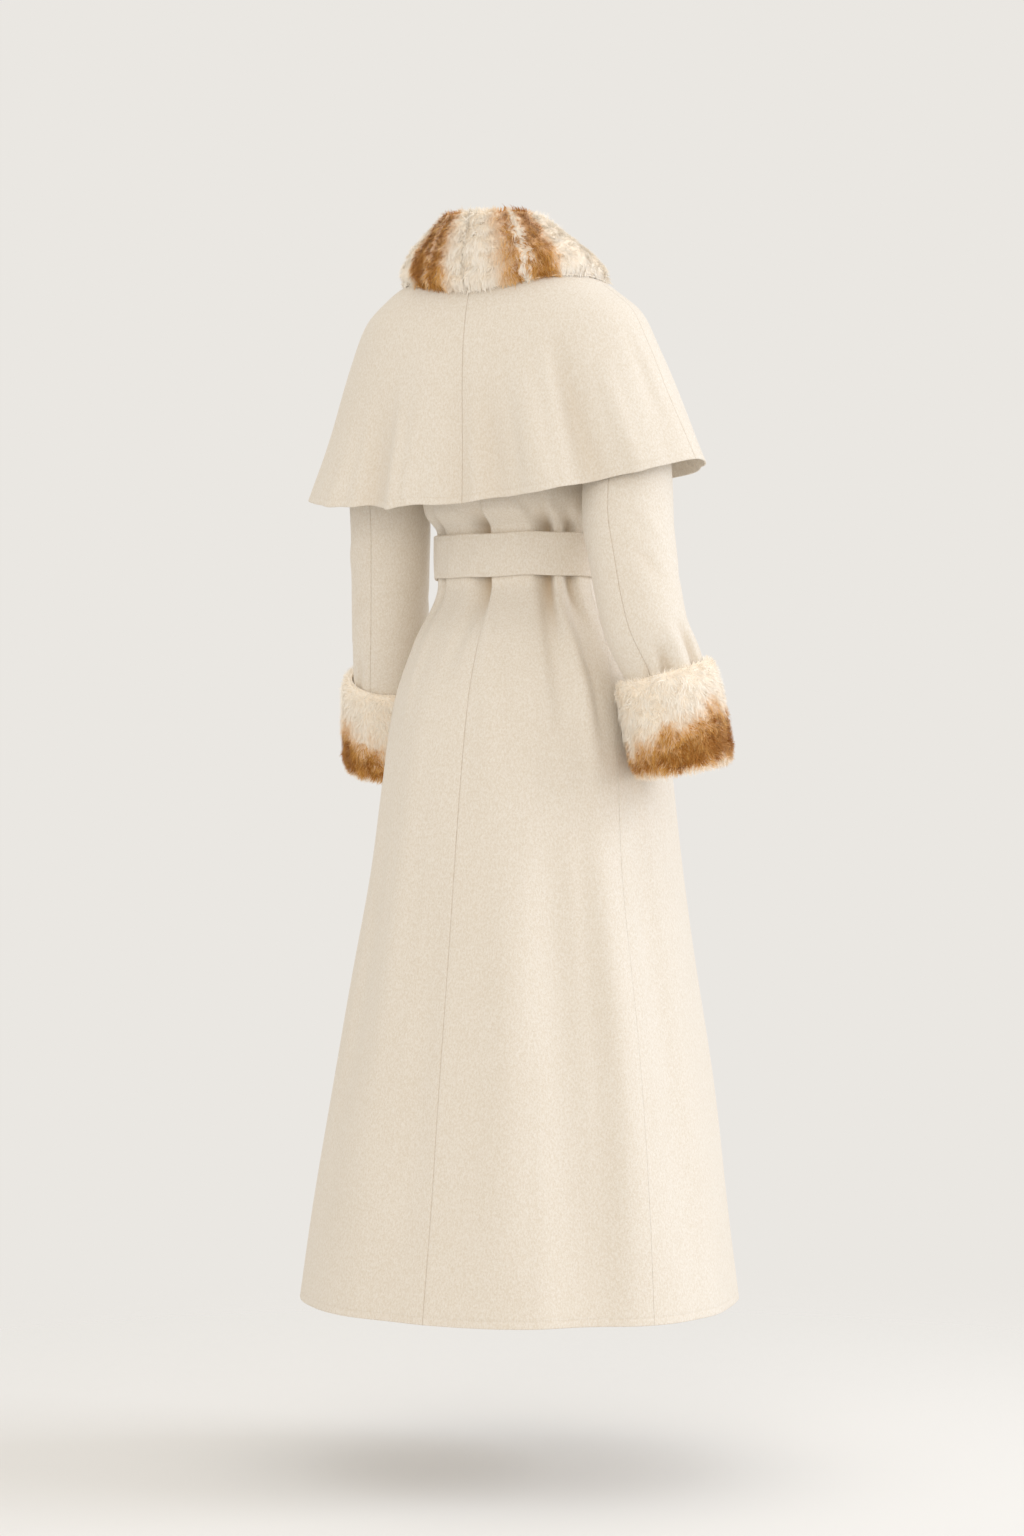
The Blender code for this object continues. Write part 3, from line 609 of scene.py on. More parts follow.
coat_depths = coat_rows()
for side, sign, front_edge, lap in (
    ("left", 1.0, LEFT_FRONT_EDGE, None),
    ("right", -1.0, RIGHT_FRONT_EDGE, lap_lift),
):

    def back_edges(depth):
        seam = side_seam(depth)
        last = seam - armhole_angle(depth) - seam_turn(coat_point, sign * seam, depth)
        return sign * seam_turn(coat_point, 0.0 * depth, depth), sign * last

    def front_edges(depth):
        seam = side_seam(depth)
        first = seam + armhole_angle(depth) + seam_turn(coat_point, sign * seam, depth)
        return sign * first, sign * (front_edge + 0.0 * depth)

    for panel, edges, columns, last_steps, seams, hems, lift in (
        ("coat_back_", back_edges, BACK_COLUMNS, SEAM_STEPS, ("first",), ("foot",), None),
        ("coat_front_", front_edges, FRONT_COLUMNS, HEM_STEPS, (), ("foot", "last"), lap),
    ):
        name = panel + side
        grid = panel_grid(coat_point, edges, coat_depths, columns, SEAM_STEPS, last_steps)
        cloth = cloth_shell(name + "_cloth", coat_point, *grid, seams, hems, lift, coat_hollow)
        wear_wool(cloth, name)


# Sleeves
# Two-piece sleeves of the same coating, an upper and an under half sewn along the front and the back of the
# arm and set into the armholes. They bend with the arm and dimple where the cuffs hold them.

SLEEVE_HEAD_GAP = 0.0021
CAP_TOP = 0.145
CAP_FOOT = 0.215
CAP_BULGE = 0.012
SLEEVE_FOOT = 0.630
SLEEVE_ROWS = ((CAP_TOP, 0.0045), (CAP_FOOT, 0.0060), (0.400, 0.0040), (0.540, 0.0090), (SLEEVE_FOOT, 1.0))
SLEEVE_COLUMNS = 36
SLEEVE_RADIUS = 0.053
HEAD_CLEAR = 0.0008
DEEPEST_DIMPLE = 0.008
DIMPLE_SHADE = 0.40
Arm = namedtuple("Arm", "z out y radius")
LEFT_ARM = (
    Arm(-0.215, 0.187, -0.018, 0.051),
    Arm(-0.323, 0.193, -0.048, 0.054),
    Arm(-0.380, 0.199, -0.059, 0.053),
    Arm(-0.470, 0.212, -0.082, 0.052),
    Arm(-0.585, 0.239, -0.131, 0.050),
    Arm(-0.670, 0.252, -0.157, 0.049),
)
RIGHT_ARM = (
    Arm(-0.215, 0.188, 0.006, 0.052),
    Arm(-0.323, 0.193, 0.020, 0.059),
    Arm(-0.380, 0.205, 0.031, 0.057),
    Arm(-0.470, 0.227, 0.040, 0.054),
    Arm(-0.527, 0.247, 0.027, 0.052),
    Arm(-0.585, 0.257, 0.018, 0.051),
    Arm(-0.670, 0.268, 0.004, 0.050),
)
# Turns go round the arm: 0 is its front, 90 the inner side, 180 the back and 270 the outer side
RIGHT_SLEEVE_CREASES = (
    Crease(206, 0.484, 206, 0.568, 0.0125, -0.0080),
    Crease(255, 0.470, 258, 0.568, 0.0125, -0.0085),
    Crease(231, 0.466, 232, 0.566, 0.0120, 0.0030),
    Crease(178, 0.490, 180, 0.564, 0.0085, -0.0030),
    Crease(290, 0.470, 286, 0.560, 0.0100, -0.0040),
    Crease(215, 0.330, 262, 0.400, 0.0160, 0.0022),
    Crease(200, 0.372, 250, 0.444, 0.0150, -0.0020),
    Crease(330, 0.380, 285, 0.430, 0.0140, -0.0035),
    Crease(20, 0.400, 70, 0.440, 0.0120, -0.0035),
    Crease(40, 0.440, 90, 0.466, 0.0120, -0.0030),
    Crease(90, 0.470, 95, 0.560, 0.0100, -0.0035),
)
LEFT_SLEEVE_CREASES = (
    Crease(200, 0.480, 206, 0.560, 0.0090, -0.0035),
    Crease(236, 0.476, 238, 0.560, 0.0095, -0.0042),
    Crease(282, 0.470, 280, 0.560, 0.0100, -0.0040),
    Crease(205, 0.330, 250, 0.392, 0.0150, 0.0020),
    Crease(180, 0.400, 225, 0.452, 0.0150, -0.0022),
    Crease(330, 0.400, 290, 0.440, 0.0140, -0.0035),
    Crease(20, 0.390, 72, 0.430, 0.0120, -0.0032),
    Crease(90, 0.476, 96, 0.560, 0.0100, -0.0032),
)


def arm_frame(arm, sign, depth):
    """The arm's centre, its front and inner directions square to it, and the sleeve's radius."""
    knots = [-row.z for row in arm]

    def centre_at(where):
        out = column(arm, "out", knots, where)
        return np.stack((sign * out, column(arm, "y", knots, where), -where), axis=-1)

    depth = np.asarray(depth, float)
    near = 0.004
    along = centre_at(np.minimum(depth + near, knots[-1])) - centre_at(np.maximum(depth - near, knots[0]))
    along = along / np.linalg.norm(along, axis=-1, keepdims=True)
    front = np.array((0.0, -1.0, 0.0))
    front = front - along * np.sum(along * front, axis=-1, keepdims=True)
    front = front / np.linalg.norm(front, axis=-1, keepdims=True)
    inner = np.cross(along, front) * sign
    return centre_at(depth), front, inner, column(arm, "radius", knots, depth)


def round_arm(arm, sign, turn, depth, extra=0.0):
    turn, depth = np.broadcast_arrays(np.asarray(turn, float), np.asarray(depth, float))
    centre, front, inner, radius = arm_frame(arm, sign, depth)
    reach = (radius + extra)[..., None]
    cosine, sine = np.cos(np.radians(turn))[..., None], np.sin(np.radians(turn))[..., None]
    return centre + reach * (cosine * front + sine * inner)


def sleeve_head(sign, turn):
    """The sleeve's upper edge: the armhole's edge moved out of the coat's cloth."""
    cosine, sine = np.cos(np.radians(turn)), np.sin(np.radians(turn))
    angle = sign * (90.0 + ARMHOLE_HALF_ANGLE * cosine)
    depth = ARMHOLE_DEPTH + ARMHOLE_HALF_HEIGHT * sine
    normal = facing_out(coat_point, angle, depth)
    return coat_point(angle, depth) + normal * SLEEVE_HEAD_GAP


def sleeve_degree(depth):
    """The length of a degree round the sleeve, much the same at every depth."""
    return np.radians(SLEEVE_RADIUS)


for side, sign, arm, creases in (
    ("left", 1.0, LEFT_ARM, LEFT_SLEEVE_CREASES),
    ("right", -1.0, RIGHT_ARM, RIGHT_SLEEVE_CREASES),
):

    def sleeve_point(turn, depth):
        share = np.clip((depth - CAP_TOP) / (CAP_FOOT - CAP_TOP), 0.0, 1.0)
        top = np.maximum(-np.sin(np.radians(turn)), 0.0)
        out = CAP_BULGE * top * np.sin(np.pi * share)
        bulge = np.stack((sign * out, 0.0 * out, 0.5 * out), axis=-1)
        lifted = crease_rise(creases, turn, depth, sleeve_degree)
        arm_point = round_arm(arm, sign, turn, np.maximum(depth, CAP_FOOT), lifted)
        head = sleeve_head(sign, turn)
        return head + (arm_point - head) * share[..., None] + bulge

    # Painted shade in the sleeve's dimples, darker where the creases sink the cloth
    def sleeve_hollow(turn, depth):
        sunk = -crease_rise(creases, turn, depth, sleeve_degree)
        return DIMPLE_SHADE * np.clip(sunk / DEEPEST_DIMPLE, 0.0, 1.0)

    rows = rows_between(SLEEVE_ROWS)
    for half, first_turn in (("upper", 180.0), ("under", 0.0)):

        def sleeve_edges(depth):
            clear = np.degrees(0.5 * SEAM_GAP / column(arm, "radius", [-row.z for row in arm], depth))
            return first_turn + clear, first_turn + 180.0 - clear

        name = "sleeve_%s_%s" % (side, half)
        turns, depths = panel_grid(sleeve_point, sleeve_edges, rows, SLEEVE_COLUMNS, SEAM_STEPS, SEAM_STEPS)
        depths = np.maximum(depths, CAP_TOP + HEAD_CLEAR)
        sleeve = cloth_shell(
            name + "_cloth",
            sleeve_point,
            turns,
            depths,
            seams=("first", "last"),
            hems=(),
            hollow=sleeve_hollow,
            hand=sign,
        )
        wear_wool(sleeve, name)
        "coat_back_" + side


# Cape
# A shoulder cape of the same coating in four panels, sewn down the back centre and over the shoulders, set
# into the neck seam and open at the front. It stands off the body in soft flutes above a stitched hem.

CAPE_RINGS = (
    Ring(0.000, 0.002, -0.096, 0.0718, 0.0688, 0.1065, 0.000, 0.000),
    Ring(-0.020, -0.008, -0.110, 0.1050, 0.0830, 0.1175, 0.000, 0.000),
    Ring(-0.042, -0.022, -0.124, 0.1430, 0.0930, 0.1260, 0.000, 0.000),
    Ring(-0.072, -0.036, -0.142, 0.1630, 0.1020, 0.1340, 0.000, 0.000),
    Ring(-0.112, -0.063, -0.168, 0.1938, 0.1090, 0.1410, 0.000, 0.000),
    Ring(-0.160, -0.110, -0.205, 0.2170, 0.1130, 0.1480, 0.000, 0.000),
    Ring(-0.235, -0.190, -0.250, 0.2480, 0.1180, 0.1570, 0.000, 0.000),
    Ring(-0.313, -0.275, -0.286, 0.2850, 0.1230, 0.1660, 0.000, 0.000),
)
CAPE_FOOT = -CAPE_RINGS[-1].z_back
CAPE_SIDE_TILT = 0.017
CAPE_SIDE_SEAM = 86.0
CAPE_FRONT_EDGE = 172.0
CAPE_FLUTES = (
    Flute(1, 8, -0.010, 0.070),
    Flute(15, 9, 0.009, 0.090),
    Flute(28, 7, -0.009, 0.120),
    Flute(-12, 9, -0.008, 0.100),
    Flute(-27, 10, 0.010, 0.110),
    Flute(-39, 8, -0.010, 0.100),
    Flute(52, 12, 0.005, 0.150),
    Flute(-58, 12, 0.005, 0.150),
    Flute(128, 14, 0.008, 0.140),
    Flute(-128, 14, 0.008, 0.140),
)
CAPE_CREASES = (
    Crease(25, 0.150, 19, 0.410, 0.014, 0.0085),
    Crease(35, 0.160, 29, 0.410, 0.019, -0.0075),
    Crease(12, 0.190, 12, 0.390, 0.016, -0.0040),
    Crease(45, 0.210, 48, 0.380, 0.018, 0.0040),
    Crease(-8, 0.130, -10, 0.390, 0.020, -0.0055),
    Crease(-21, 0.110, -25, 0.390, 0.020, 0.0060),
    Crease(-35, 0.100, -39, 0.330, 0.018, -0.0060),
    Crease(-52, 0.160, -55, 0.380, 0.020, 0.0040),
    Crease(-70, 0.120, -74, 0.300, 0.022, -0.0030),
    Crease(72, 0.140, 75, 0.300, 0.022, -0.0030),
    Crease(106, 0.150, 109, 0.340, 0.022, 0.0045),
    Crease(-107, 0.150, -110, 0.340, 0.022, 0.0045),
    Crease(150, 0.180, 152, 0.330, 0.016, -0.0045),
    Crease(-150, 0.180, -152, 0.330, 0.016, -0.0045),
)
CAPE_HEM_DIP = 0.5                # how much lower a raised fold hangs, as a share of its rise
CAPE_RADIUS = 0.19
CAPE_LEVEL = 4.0                  # how sharply a ring's height turns from side to back, at the neck
CAPE_LEVEL_LOSS = 2.4             # and how much less sharply at the hem
# The depths where the cape starts to change: to turn less sharply, hang loose, dip and tilt
CAPE_LEVELS_FROM = 0.100
CAPE_LOOSE_FROM = 0.070
CAPE_LOOSE_FULL = 0.160
CAPE_DIPS_FROM = 0.200
CAPE_TILTS_FROM = 0.060
CAPE_COLUMNS = 62
DEEPEST_FLUTE = 0.012
FLUTE_SHADE = 0.16


def cape_degree(depth):
    """The length of a degree round the cape, taken as the same at every depth."""
    return np.radians(CAPE_RADIUS)


def cape_point(angle, depth):
    level = CAPE_LEVEL - CAPE_LEVEL_LOSS * ease(CAPE_LEVELS_FROM, CAPE_FOOT, depth)
    point, out = on_rings(CAPE_RINGS, angle, depth, level)
    creased = crease_rise(CAPE_CREASES, angle, depth, cape_degree)
    loose = creased + wavering(SLOW_WAVES, angle, depth)
    loose = ease(CAPE_LOOSE_FROM, CAPE_LOOSE_FULL, depth) * loose
    rise = flute_rise(CAPE_FLUTES, angle, depth, CAPE_FOOT) + loose
    point = point + out * rise[..., None]
    point[..., 2] -= CAPE_HEM_DIP * creased * ease(CAPE_DIPS_FROM, CAPE_FOOT, depth)
    tilted = CAPE_SIDE_TILT * np.sin(np.radians(angle))
    point[..., 2] -= tilted * ease(CAPE_TILTS_FROM, CAPE_FOOT, depth)
    return point


def cape_hollow(angle, depth):
    """How much painted shade lies between the flutes, more where the cloth sinks deeper."""
    raised = flute_rise(CAPE_FLUTES, angle, depth, CAPE_FOOT)
    raised = raised + crease_rise(CAPE_CREASES, angle, depth, cape_degree)
    return FLUTE_SHADE * np.clip(-raised / DEEPEST_FLUTE, 0.0, 1.0)


cape_depths = rows_between(((0.0, 0.0060), (0.120, 0.0048), (CAPE_FOOT - HEM_STEPS[-1], 1.0)))
cape_depths = np.concatenate((cape_depths[:-1], CAPE_FOOT - np.array(HEM_STEPS[::-1])))
cape_panels = {}
for side, sign in (("left", 1.0), ("right", -1.0)):

    def cape_back_edges(depth):
        last = CAPE_SIDE_SEAM - seam_turn(cape_point, sign * CAPE_SIDE_SEAM + 0.0 * depth, depth)
        return sign * seam_turn(cape_point, 0.0 * depth, depth), sign * last

    def cape_front_edges(depth):
        first = CAPE_SIDE_SEAM + seam_turn(cape_point, sign * CAPE_SIDE_SEAM + 0.0 * depth, depth)
        return sign * first, sign * (CAPE_FRONT_EDGE + 0.0 * depth)

    for panel, edges, last_steps, seams, hems in (
        ("cape_back", cape_back_edges, SEAM_STEPS, ("first", "last"), ("foot",)),
        ("cape_front", cape_front_edges, HEM_STEPS, ("first",), ("foot", "last")),
    ):
        name = panel + "_" + side
        grid = panel_grid(cape_point, edges, cape_depths, CAPE_COLUMNS, SEAM_STEPS, last_steps)
        cape = cloth_shell(name + "_cloth", cape_point, *grid, seams=seams, hems=hems, hollow=cape_hollow)
        wear_wool(cape, name)
        cape_panels[name] = cape


# Stitches
# A row of matching thread holds each turned edge of the cape and the belt: short straight stitches, each
# pulled a little into the cloth, set one after the other along the edge.

THREAD = (0.80, 0.73, 0.62, 1.0)
DARK_THREAD = (0.70, 0.62, 0.50, 1.0)
STITCH_LENGTH = 0.0034
STITCH_PITCH = 0.0046
THREAD_RADIUS = 0.00026
STITCH_POINTS = 220
# The angles between which each panel's hem is stitched
CAPE_STITCHED = {
    "cape_back": (0.6, CAPE_SIDE_SEAM - 0.6),
    "cape_front": (CAPE_SIDE_SEAM + 0.6, CAPE_FRONT_EDGE - 2.0),
}


def thread_finish():
    """Soft spun thread, a touch darker than the cloth, with a fine twist."""
    material, start, shader = new_finish("sewing_thread", Sheen_Weight=0.2, Specular_IOR_Level=0.2)
    twist = start.add("ShaderNodeTexCoord", output="Object").noise(scale=1800.0, detail=2.0)
    twist.between(0.3, 0.7).blend(DARK_THREAD, THREAD).into(shader, "Base Color")
    (0.70 + 0.20 * twist).into(shader, "Roughness")
    return material


def new_tree(name, inputs):
    """A tree that makes a geometry: the wire that starts its nodes, and a wire for each named input."""
    tree = bpy.data.node_groups.new(name, "GeometryNodeTree")
    for label, kind in inputs.items():
        tree.interface.new_socket(label, in_out="INPUT", socket_type="NodeSocket" + kind)
    tree.interface.new_socket("Made", in_out="OUTPUT", socket_type="NodeSocketGeometry")
    given = tree.nodes.new("NodeGroupInput")
    return Wire(tree), [Wire(tree, given.outputs[label]) for label in inputs]


def finished_tree(made):
    result = made.tree.nodes.new("NodeGroupOutput")
    made.tree.links.new(made.socket, result.inputs[0])
    return made.tree


def stitching_tree():
    """Stitches set along the edges of a mesh line."""
    inputs = {"Line": "Geometry"} | dict.fromkeys(("Pitch", "Length", "Radius"), "Float")
    start, wires = new_tree("stitching", inputs | {"Thread": "Material"})
    line, pitch, length, radius, thread = wires
    path = start.add("GeometryNodeMeshToCurve", {}, {"Mesh": line})
    dots = start.add("GeometryNodeResampleCurve", {"mode": "LENGTH"}, {"Curve": path, "Length": pitch})
    along = start.add("GeometryNodeInputTangent")
    turned = start.add("FunctionNodeAlignRotationToVector", {"axis": "Z"}, {"Vector": along})
    size = start.add("ShaderNodeCombineXYZ", {}, {"X": radius, "Y": radius, "Z": 0.5 * length})
    bead = start.add("GeometryNodeMeshUVSphere", {}, {"Segments": 6, "Rings": 4, "Radius": 1.0})
    sown = {"Points": dots, "Instance": bead, "Rotation": turned, "Scale": size}
    sewn = start.add("GeometryNodeInstanceOnPoints", {}, sown)
    solid = start.add("GeometryNodeRealizeInstances", {}, {"Geometry": sewn})
    soft = start.add("GeometryNodeSetShadeSmooth", {}, {"Geometry": solid})
    return finished_tree(start.add("GeometryNodeSetMaterial", {}, {"Geometry": soft, "Material": thread}))


def grown_mesh(name, maker, tree, values):
    """Runs a tree on an object, its named inputs set, and keeps what it makes as a plain mesh of its own."""
    modifier = maker.modifiers.new(tree.name, "NODES")
    modifier.node_group = tree
    for item in tree.interface.items_tree:
        if item.in_out == "INPUT" and item.name in values:
            modifier[item.identifier] = values[item.name]
    graph = bpy.context.evaluated_depsgraph_get()
    mesh = bpy.data.meshes.new_from_object(maker.evaluated_get(graph), depsgraph=graph)
    maker.modifiers.remove(modifier)
    mesh.name = name
    return placed(name, mesh)


STITCHING = stitching_tree()
SEWING_THREAD = thread_finish()


def sew(name, lines):
    """Stitches along each line of points, as one piece."""
    points = np.concatenate(lines)
    edges = []
    start = 0
    for line in lines:
        edges += [(start + k, start + k + 1) for k in range(len(line) - 1)]
        start += len(line)
    guide_mesh = bpy.data.meshes.new(name + "_line")
    guide_mesh.from_pydata(points.tolist(), edges, [])
    guide = placed(name + "_line", guide_mesh)
    sizes = {"Pitch": STITCH_PITCH, "Length": STITCH_LENGTH, "Radius": THREAD_RADIUS, "Thread": SEWING_THREAD}
    stitches = grown_mesh(name, guide, STITCHING, sizes)
    bpy.data.objects.remove(guide, do_unlink=True)
    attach(stitches, "root")
    return stitches


for name, cape in cape_panels.items():
    panel, side = name.rsplit("_", 1)
    angles = np.linspace(*CAPE_STITCHED[panel], STITCH_POINTS) * (1.0 if side == "left" else -1.0)
    depths = CAPE_FOOT - STITCHED_IN + 0.0 * angles
    line = cape_point(angles, depths) - facing_out(cape_point, angles, depths) * STITCH_SINK
    stitches = sew(name + "_stitches", [line])


# Belt
# A flat tie belt of doubled coating, turned and stitched near both edges, drawn round the waist, tied once
# at the front with its two ends hanging down the skirt.

LAID_GAP = 0.0006
BELT_GAP = 0.0008
BELT_CLOTH = 0.0045
BELT_COLUMNS = 240
BELT_STITCHED_IN = 0.0055
BELT_STITCH_DENT = 0.002
BELT_THREAD_SINK = 0.0002
BELT_STITCH_POINTS = 721
BELT_FACE_ROWS = 22
BELT_FOLD_ROWS = 9
BELT_SWELL = 0.0006               # how far the belt's face stands out at its middle
BELT_PUFFS = (Wave(0.0004, 7, 60.0, 0.0), Wave(0.0003, 17, -90.0, 1.0))
BELT_WANDER = (Wave(0.0008, 4, 0.0, 0.7), Wave(0.0005, 9, 0.0, 2.0))
KNOT_HALF_ANGLE = 13.0
KNOT_TOP = 0.3440
KNOT_FOOT = 0.4042
KNOT_BULGE = 0.014
KNOT_FALL_ACROSS = 0.85           # how far the tie's face falls away at its sides, and above and below
KNOT_FALL_DOWN = 0.8
KNOT_CREASE = 0.0016
KNOT_CREASES = 9.0
KNOT_CREASE_SLANT = 0.28
KNOT_COLUMNS = 49
KNOT_ROWS = 41
BELT_END_WIDTH = 0.050
BELT_END_WIDEST = 20.0            # degrees
BELT_END_COLUMNS = 8
BELT_END_CLEAR = 0.0008           # between the belt's lower edge and its hanging ends
BELT_END_STEP = 0.0060
BELT_END_ANGLES = {"left": 168.0, "right": 191.0}
BELT_END_FOOT = {"left": 0.780, "right": 0.745}


def belt_lift(angle):
    """How far the lapped fronts push the belt out."""
    return LAP_LIFT * (1 - ease(180.0 - LAP_FULL, 180.0 - LAP_BEGINS, np.abs(turn_between(angle, 180.0))))


def on_belt(angle, depth, out):
    normal = facing_out(plain_coat_point, angle, 0.0 * depth + WAIST_DEPTH)
    reach = BELT_GAP + belt_lift(angle) + out
    return plain_coat_point(angle, depth) + normal * np.asarray(reach)[..., None]


def tube_object(name, grid, values, closed_loop):
    """A closed section (first index) carried round a loop (second index), or along a path with shut ends."""
    sections, loop = grid.shape[:2]
    spans = loop if closed_loop else loop - 1
    margin = 0.0 if closed_loop else 0.02
    faces = []
    corner_map = []
    for i in range(sections):
        after = (i + 1) % sections
        low, high = i / sections, (i + 1) / sections
        for k in range(spans):
            beside = (k + 1) % loop
            faces.append([i * loop + k, i * loop + beside, after * loop + beside, after * loop + k])
            near, far = (margin + (1.0 - 2 * margin) * end / spans for end in (k, k + 1))
            corner_map += [(near, low), (far, low), (far, high), (near, high)]
    if not closed_loop:
        cap = 0.006                       # a cap's radius in the map
        around = np.linspace(0.0, 2 * np.pi, sections, endpoint=False)
        for k, middle in ((0, 0.008), (loop - 1, 0.992)):
            order = range(sections) if k else range(sections - 1, -1, -1)
            faces.append([i * loop + k for i in order])
            corner_map += [(middle + cap * np.cos(around[i]), 0.5 + cap * np.sin(around[i])) for i in order]
    flat = {key: value.reshape(-1, 3) if value.ndim == 3 else value.ravel() for key, value in values.items()}
    return mesh_object(name, grid.reshape(-1, 3), faces, 0.01 + 0.98 * np.array(corner_map), flat)


def belt_section():
    """Depths and reaches round the belt's section: a flat face each side and a fold at each edge."""
    fold = 0.5 * BELT_CLOTH
    face = np.linspace(BELT_TOP + fold, BELT_FOOT - fold, BELT_FACE_ROWS)
    turn = np.linspace(0.0, np.pi, BELT_FOLD_ROWS + 2)[1:-1]
    depth = np.concatenate((face, face[-1] + fold * np.sin(turn), face[::-1], face[0] - fold * np.sin(turn)))
    flat = 0.0 * face
    out = np.concatenate((BELT_CLOTH + flat, fold + fold * np.cos(turn), flat, fold - fold * np.cos(turn)))
    return depth, out


belt_angle = np.arange(BELT_COLUMNS) * 360.0 / BELT_COLUMNS
section_depth, section_out = belt_section()
around, across = np.meshgrid(belt_angle, section_depth)
_, reach = np.meshgrid(belt_angle, section_out)
from_edge = np.minimum(across - BELT_TOP, BELT_FOOT - across)
outside = reach > 0.7 * BELT_CLOTH
share_down = np.clip((across - BELT_TOP) / (BELT_FOOT - BELT_TOP), 0, 1)
puffed = BELT_SWELL * np.sin(np.pi * share_down) + wavering(BELT_PUFFS, around, across)
puffed = puffed - STITCH_SINK * bump(from_edge - BELT_STITCHED_IN, BELT_STITCH_DENT)
wander = wavering(BELT_WANDER, around, across)
belt_points = on_belt(around, across + wander, reach + np.where(outside, puffed, 0.0))
stitched = np.abs(from_edge - BELT_STITCHED_IN) + STITCHED_IN
belt_values = {"from_seam": np.full(around.shape, 1.0), "from_hem": np.where(outside, stitched, 1.0)}
belt = tube_object("belt_band_cloth", belt_points, belt_values, closed_loop=True)
wear_wool(belt, "belt_band")
fine_angle = np.linspace(0.0, 360.0, BELT_STITCH_POINTS)
thread_out = BELT_CLOTH - BELT_THREAD_SINK + 0.0 * fine_angle
belt_rows = []
for edge in (BELT_TOP + BELT_STITCHED_IN, BELT_FOOT - BELT_STITCHED_IN):
    belt_rows.append(on_belt(fine_angle, edge + wavering(BELT_WANDER, fine_angle, edge), thread_out))
belt_stitches = sew("belt_band_stitches", belt_rows)

# The tie: one turn of the belt wrapped over itself, creased where it is pulled tight
knot_angle, knot_depth = np.meshgrid(
    180.0 + KNOT_HALF_ANGLE * np.linspace(-1.0, 1.0, KNOT_COLUMNS),
    np.linspace(KNOT_TOP, KNOT_FOOT, KNOT_ROWS),
)
knot_across = (knot_angle - 180.0) / KNOT_HALF_ANGLE
knot_down = (knot_depth - 0.5 * (KNOT_TOP + KNOT_FOOT)) / (0.5 * (KNOT_FOOT - KNOT_TOP))
dome = np.sqrt(np.clip(1 - KNOT_FALL_ACROSS * knot_across ** 4, 0, 1))
dome = dome * np.sqrt(np.clip(1 - KNOT_FALL_DOWN * knot_down ** 4, 0, 1))
slanting = KNOT_CREASES * (knot_across + KNOT_CREASE_SLANT * knot_down)
wrap = KNOT_CREASE * np.sin(slanting) * (1 - knot_across ** 2)
knot_inner = on_belt(knot_angle, knot_depth, BELT_CLOTH + LAID_GAP + 0.0 * knot_angle)
knot_outer = on_belt(knot_angle, knot_depth, BELT_CLOTH + LAID_GAP + (KNOT_BULGE + wrap) * dome)
unsewn = np.full(knot_angle.shape, 1.0)
knot = wall_object("belt_knot_cloth", knot_outer, knot_inner, {"from_seam": unsewn, "from_hem": unsewn})
wear_wool(knot, "belt_knot")

for side in ("left", "right"):
    foot = BELT_END_FOOT[side]
    middle = BELT_END_ANGLES[side]

    def end_point(angle, depth):
        normal = facing_out(coat_point, angle, depth)
        clear = BELT_GAP + belt_lift(angle)[..., None]
        return coat_point(angle, depth) + normal * (clear + BELT_CLOTH)

    def end_edges(depth):
        one_degree = plain_coat_point(middle + 1.0, depth) - plain_coat_point(middle, depth)
        turn = np.minimum(BELT_END_WIDTH / np.linalg.norm(one_degree, axis=-1), BELT_END_WIDEST)
        return middle - 0.5 * turn, middle + 0.5 * turn

    rows = rows_between(((BELT_FOOT + BELT_END_CLEAR, BELT_END_STEP), (foot - HEM_STEPS[-1], 1.0)))
    rows = np.concatenate((rows[:-1], foot - np.array(HEM_STEPS[::-1])))
    grid = panel_grid(end_point, end_edges, rows, BELT_END_COLUMNS, HEM_STEPS, HEM_STEPS)
    name = "belt_end_" + side
    hems = ("first", "last", "foot")
    end = cloth_shell(name + "_cloth", end_point, *grid, seams=(), hems=hems, thickness=BELT_CLOTH)
    wear_wool(end, name)


# Fur cuffs
# Deep turn-back cuffs of sheared fur, each a pelt strip sewn into a ring round the sleeve's end. The hair is
# cream at the top and golden brown below, in swirled tufts, with a pale rim at the foot.

CUFF_TOP = 0.530
CUFF_FOOT = 0.655
CuffPoint = namedtuple("CuffPoint", "along fur")
CUFF_SECTION = (
    CuffPoint(0.03, 0.0008),
    CuffPoint(0.00, 0.0055),
    CuffPoint(0.03, 0.0110),
    CuffPoint(0.13, 0.0165),
    CuffPoint(0.36, 0.0192),
    CuffPoint(0.64, 0.0195),
    CuffPoint(0.86, 0.0176),
    CuffPoint(0.97, 0.0120),
    CuffPoint(1.00, 0.0065),
    CuffPoint(0.98, 0.0008),
    CuffPoint(0.80, 0.0008),
    CuffPoint(0.40, 0.0008),
)
CUFF_GAP = 0.0008                 # between the sleeve and the cuff's inner face
CUFF_COLUMNS = 110
CUFF_POINTS = 56
HAIR_LENGTH = 0.0085
HAIR_FULL = 0.0050                # how far from the sleeve the hair is fully grown
TUFT_DEPTH = 0.0006
RIM_INSET = 0.05                  # how deep the pelt lies under the hair, as a share of its length
FACE_INSET = 0.45
RIM_COMB = 0.25                   # how much of the lean the hair has at the rims, where it stands up
SHORTEST_HAIR = 0.70
LONGEST_HAIR = 1.12
HAIR_TAPER = 0.90
HAIR_RUFFLE = 0.22

# A plush of fine hairs and a scatter of thicker curled locks; width, curl and droop are shares of the length
Hair = namedtuple("Hair", "part length width curl droop lean swirl points seed")
HAIR_KINDS = (
    Hair("hair", HAIR_LENGTH, 0.100, 1.3, 0.25, 0.75, 2.4, 3, 0),
    Hair("locks", 0.0130, 0.100, 2.6, 0.40, 0.80, 3.2, 5, 50),
)
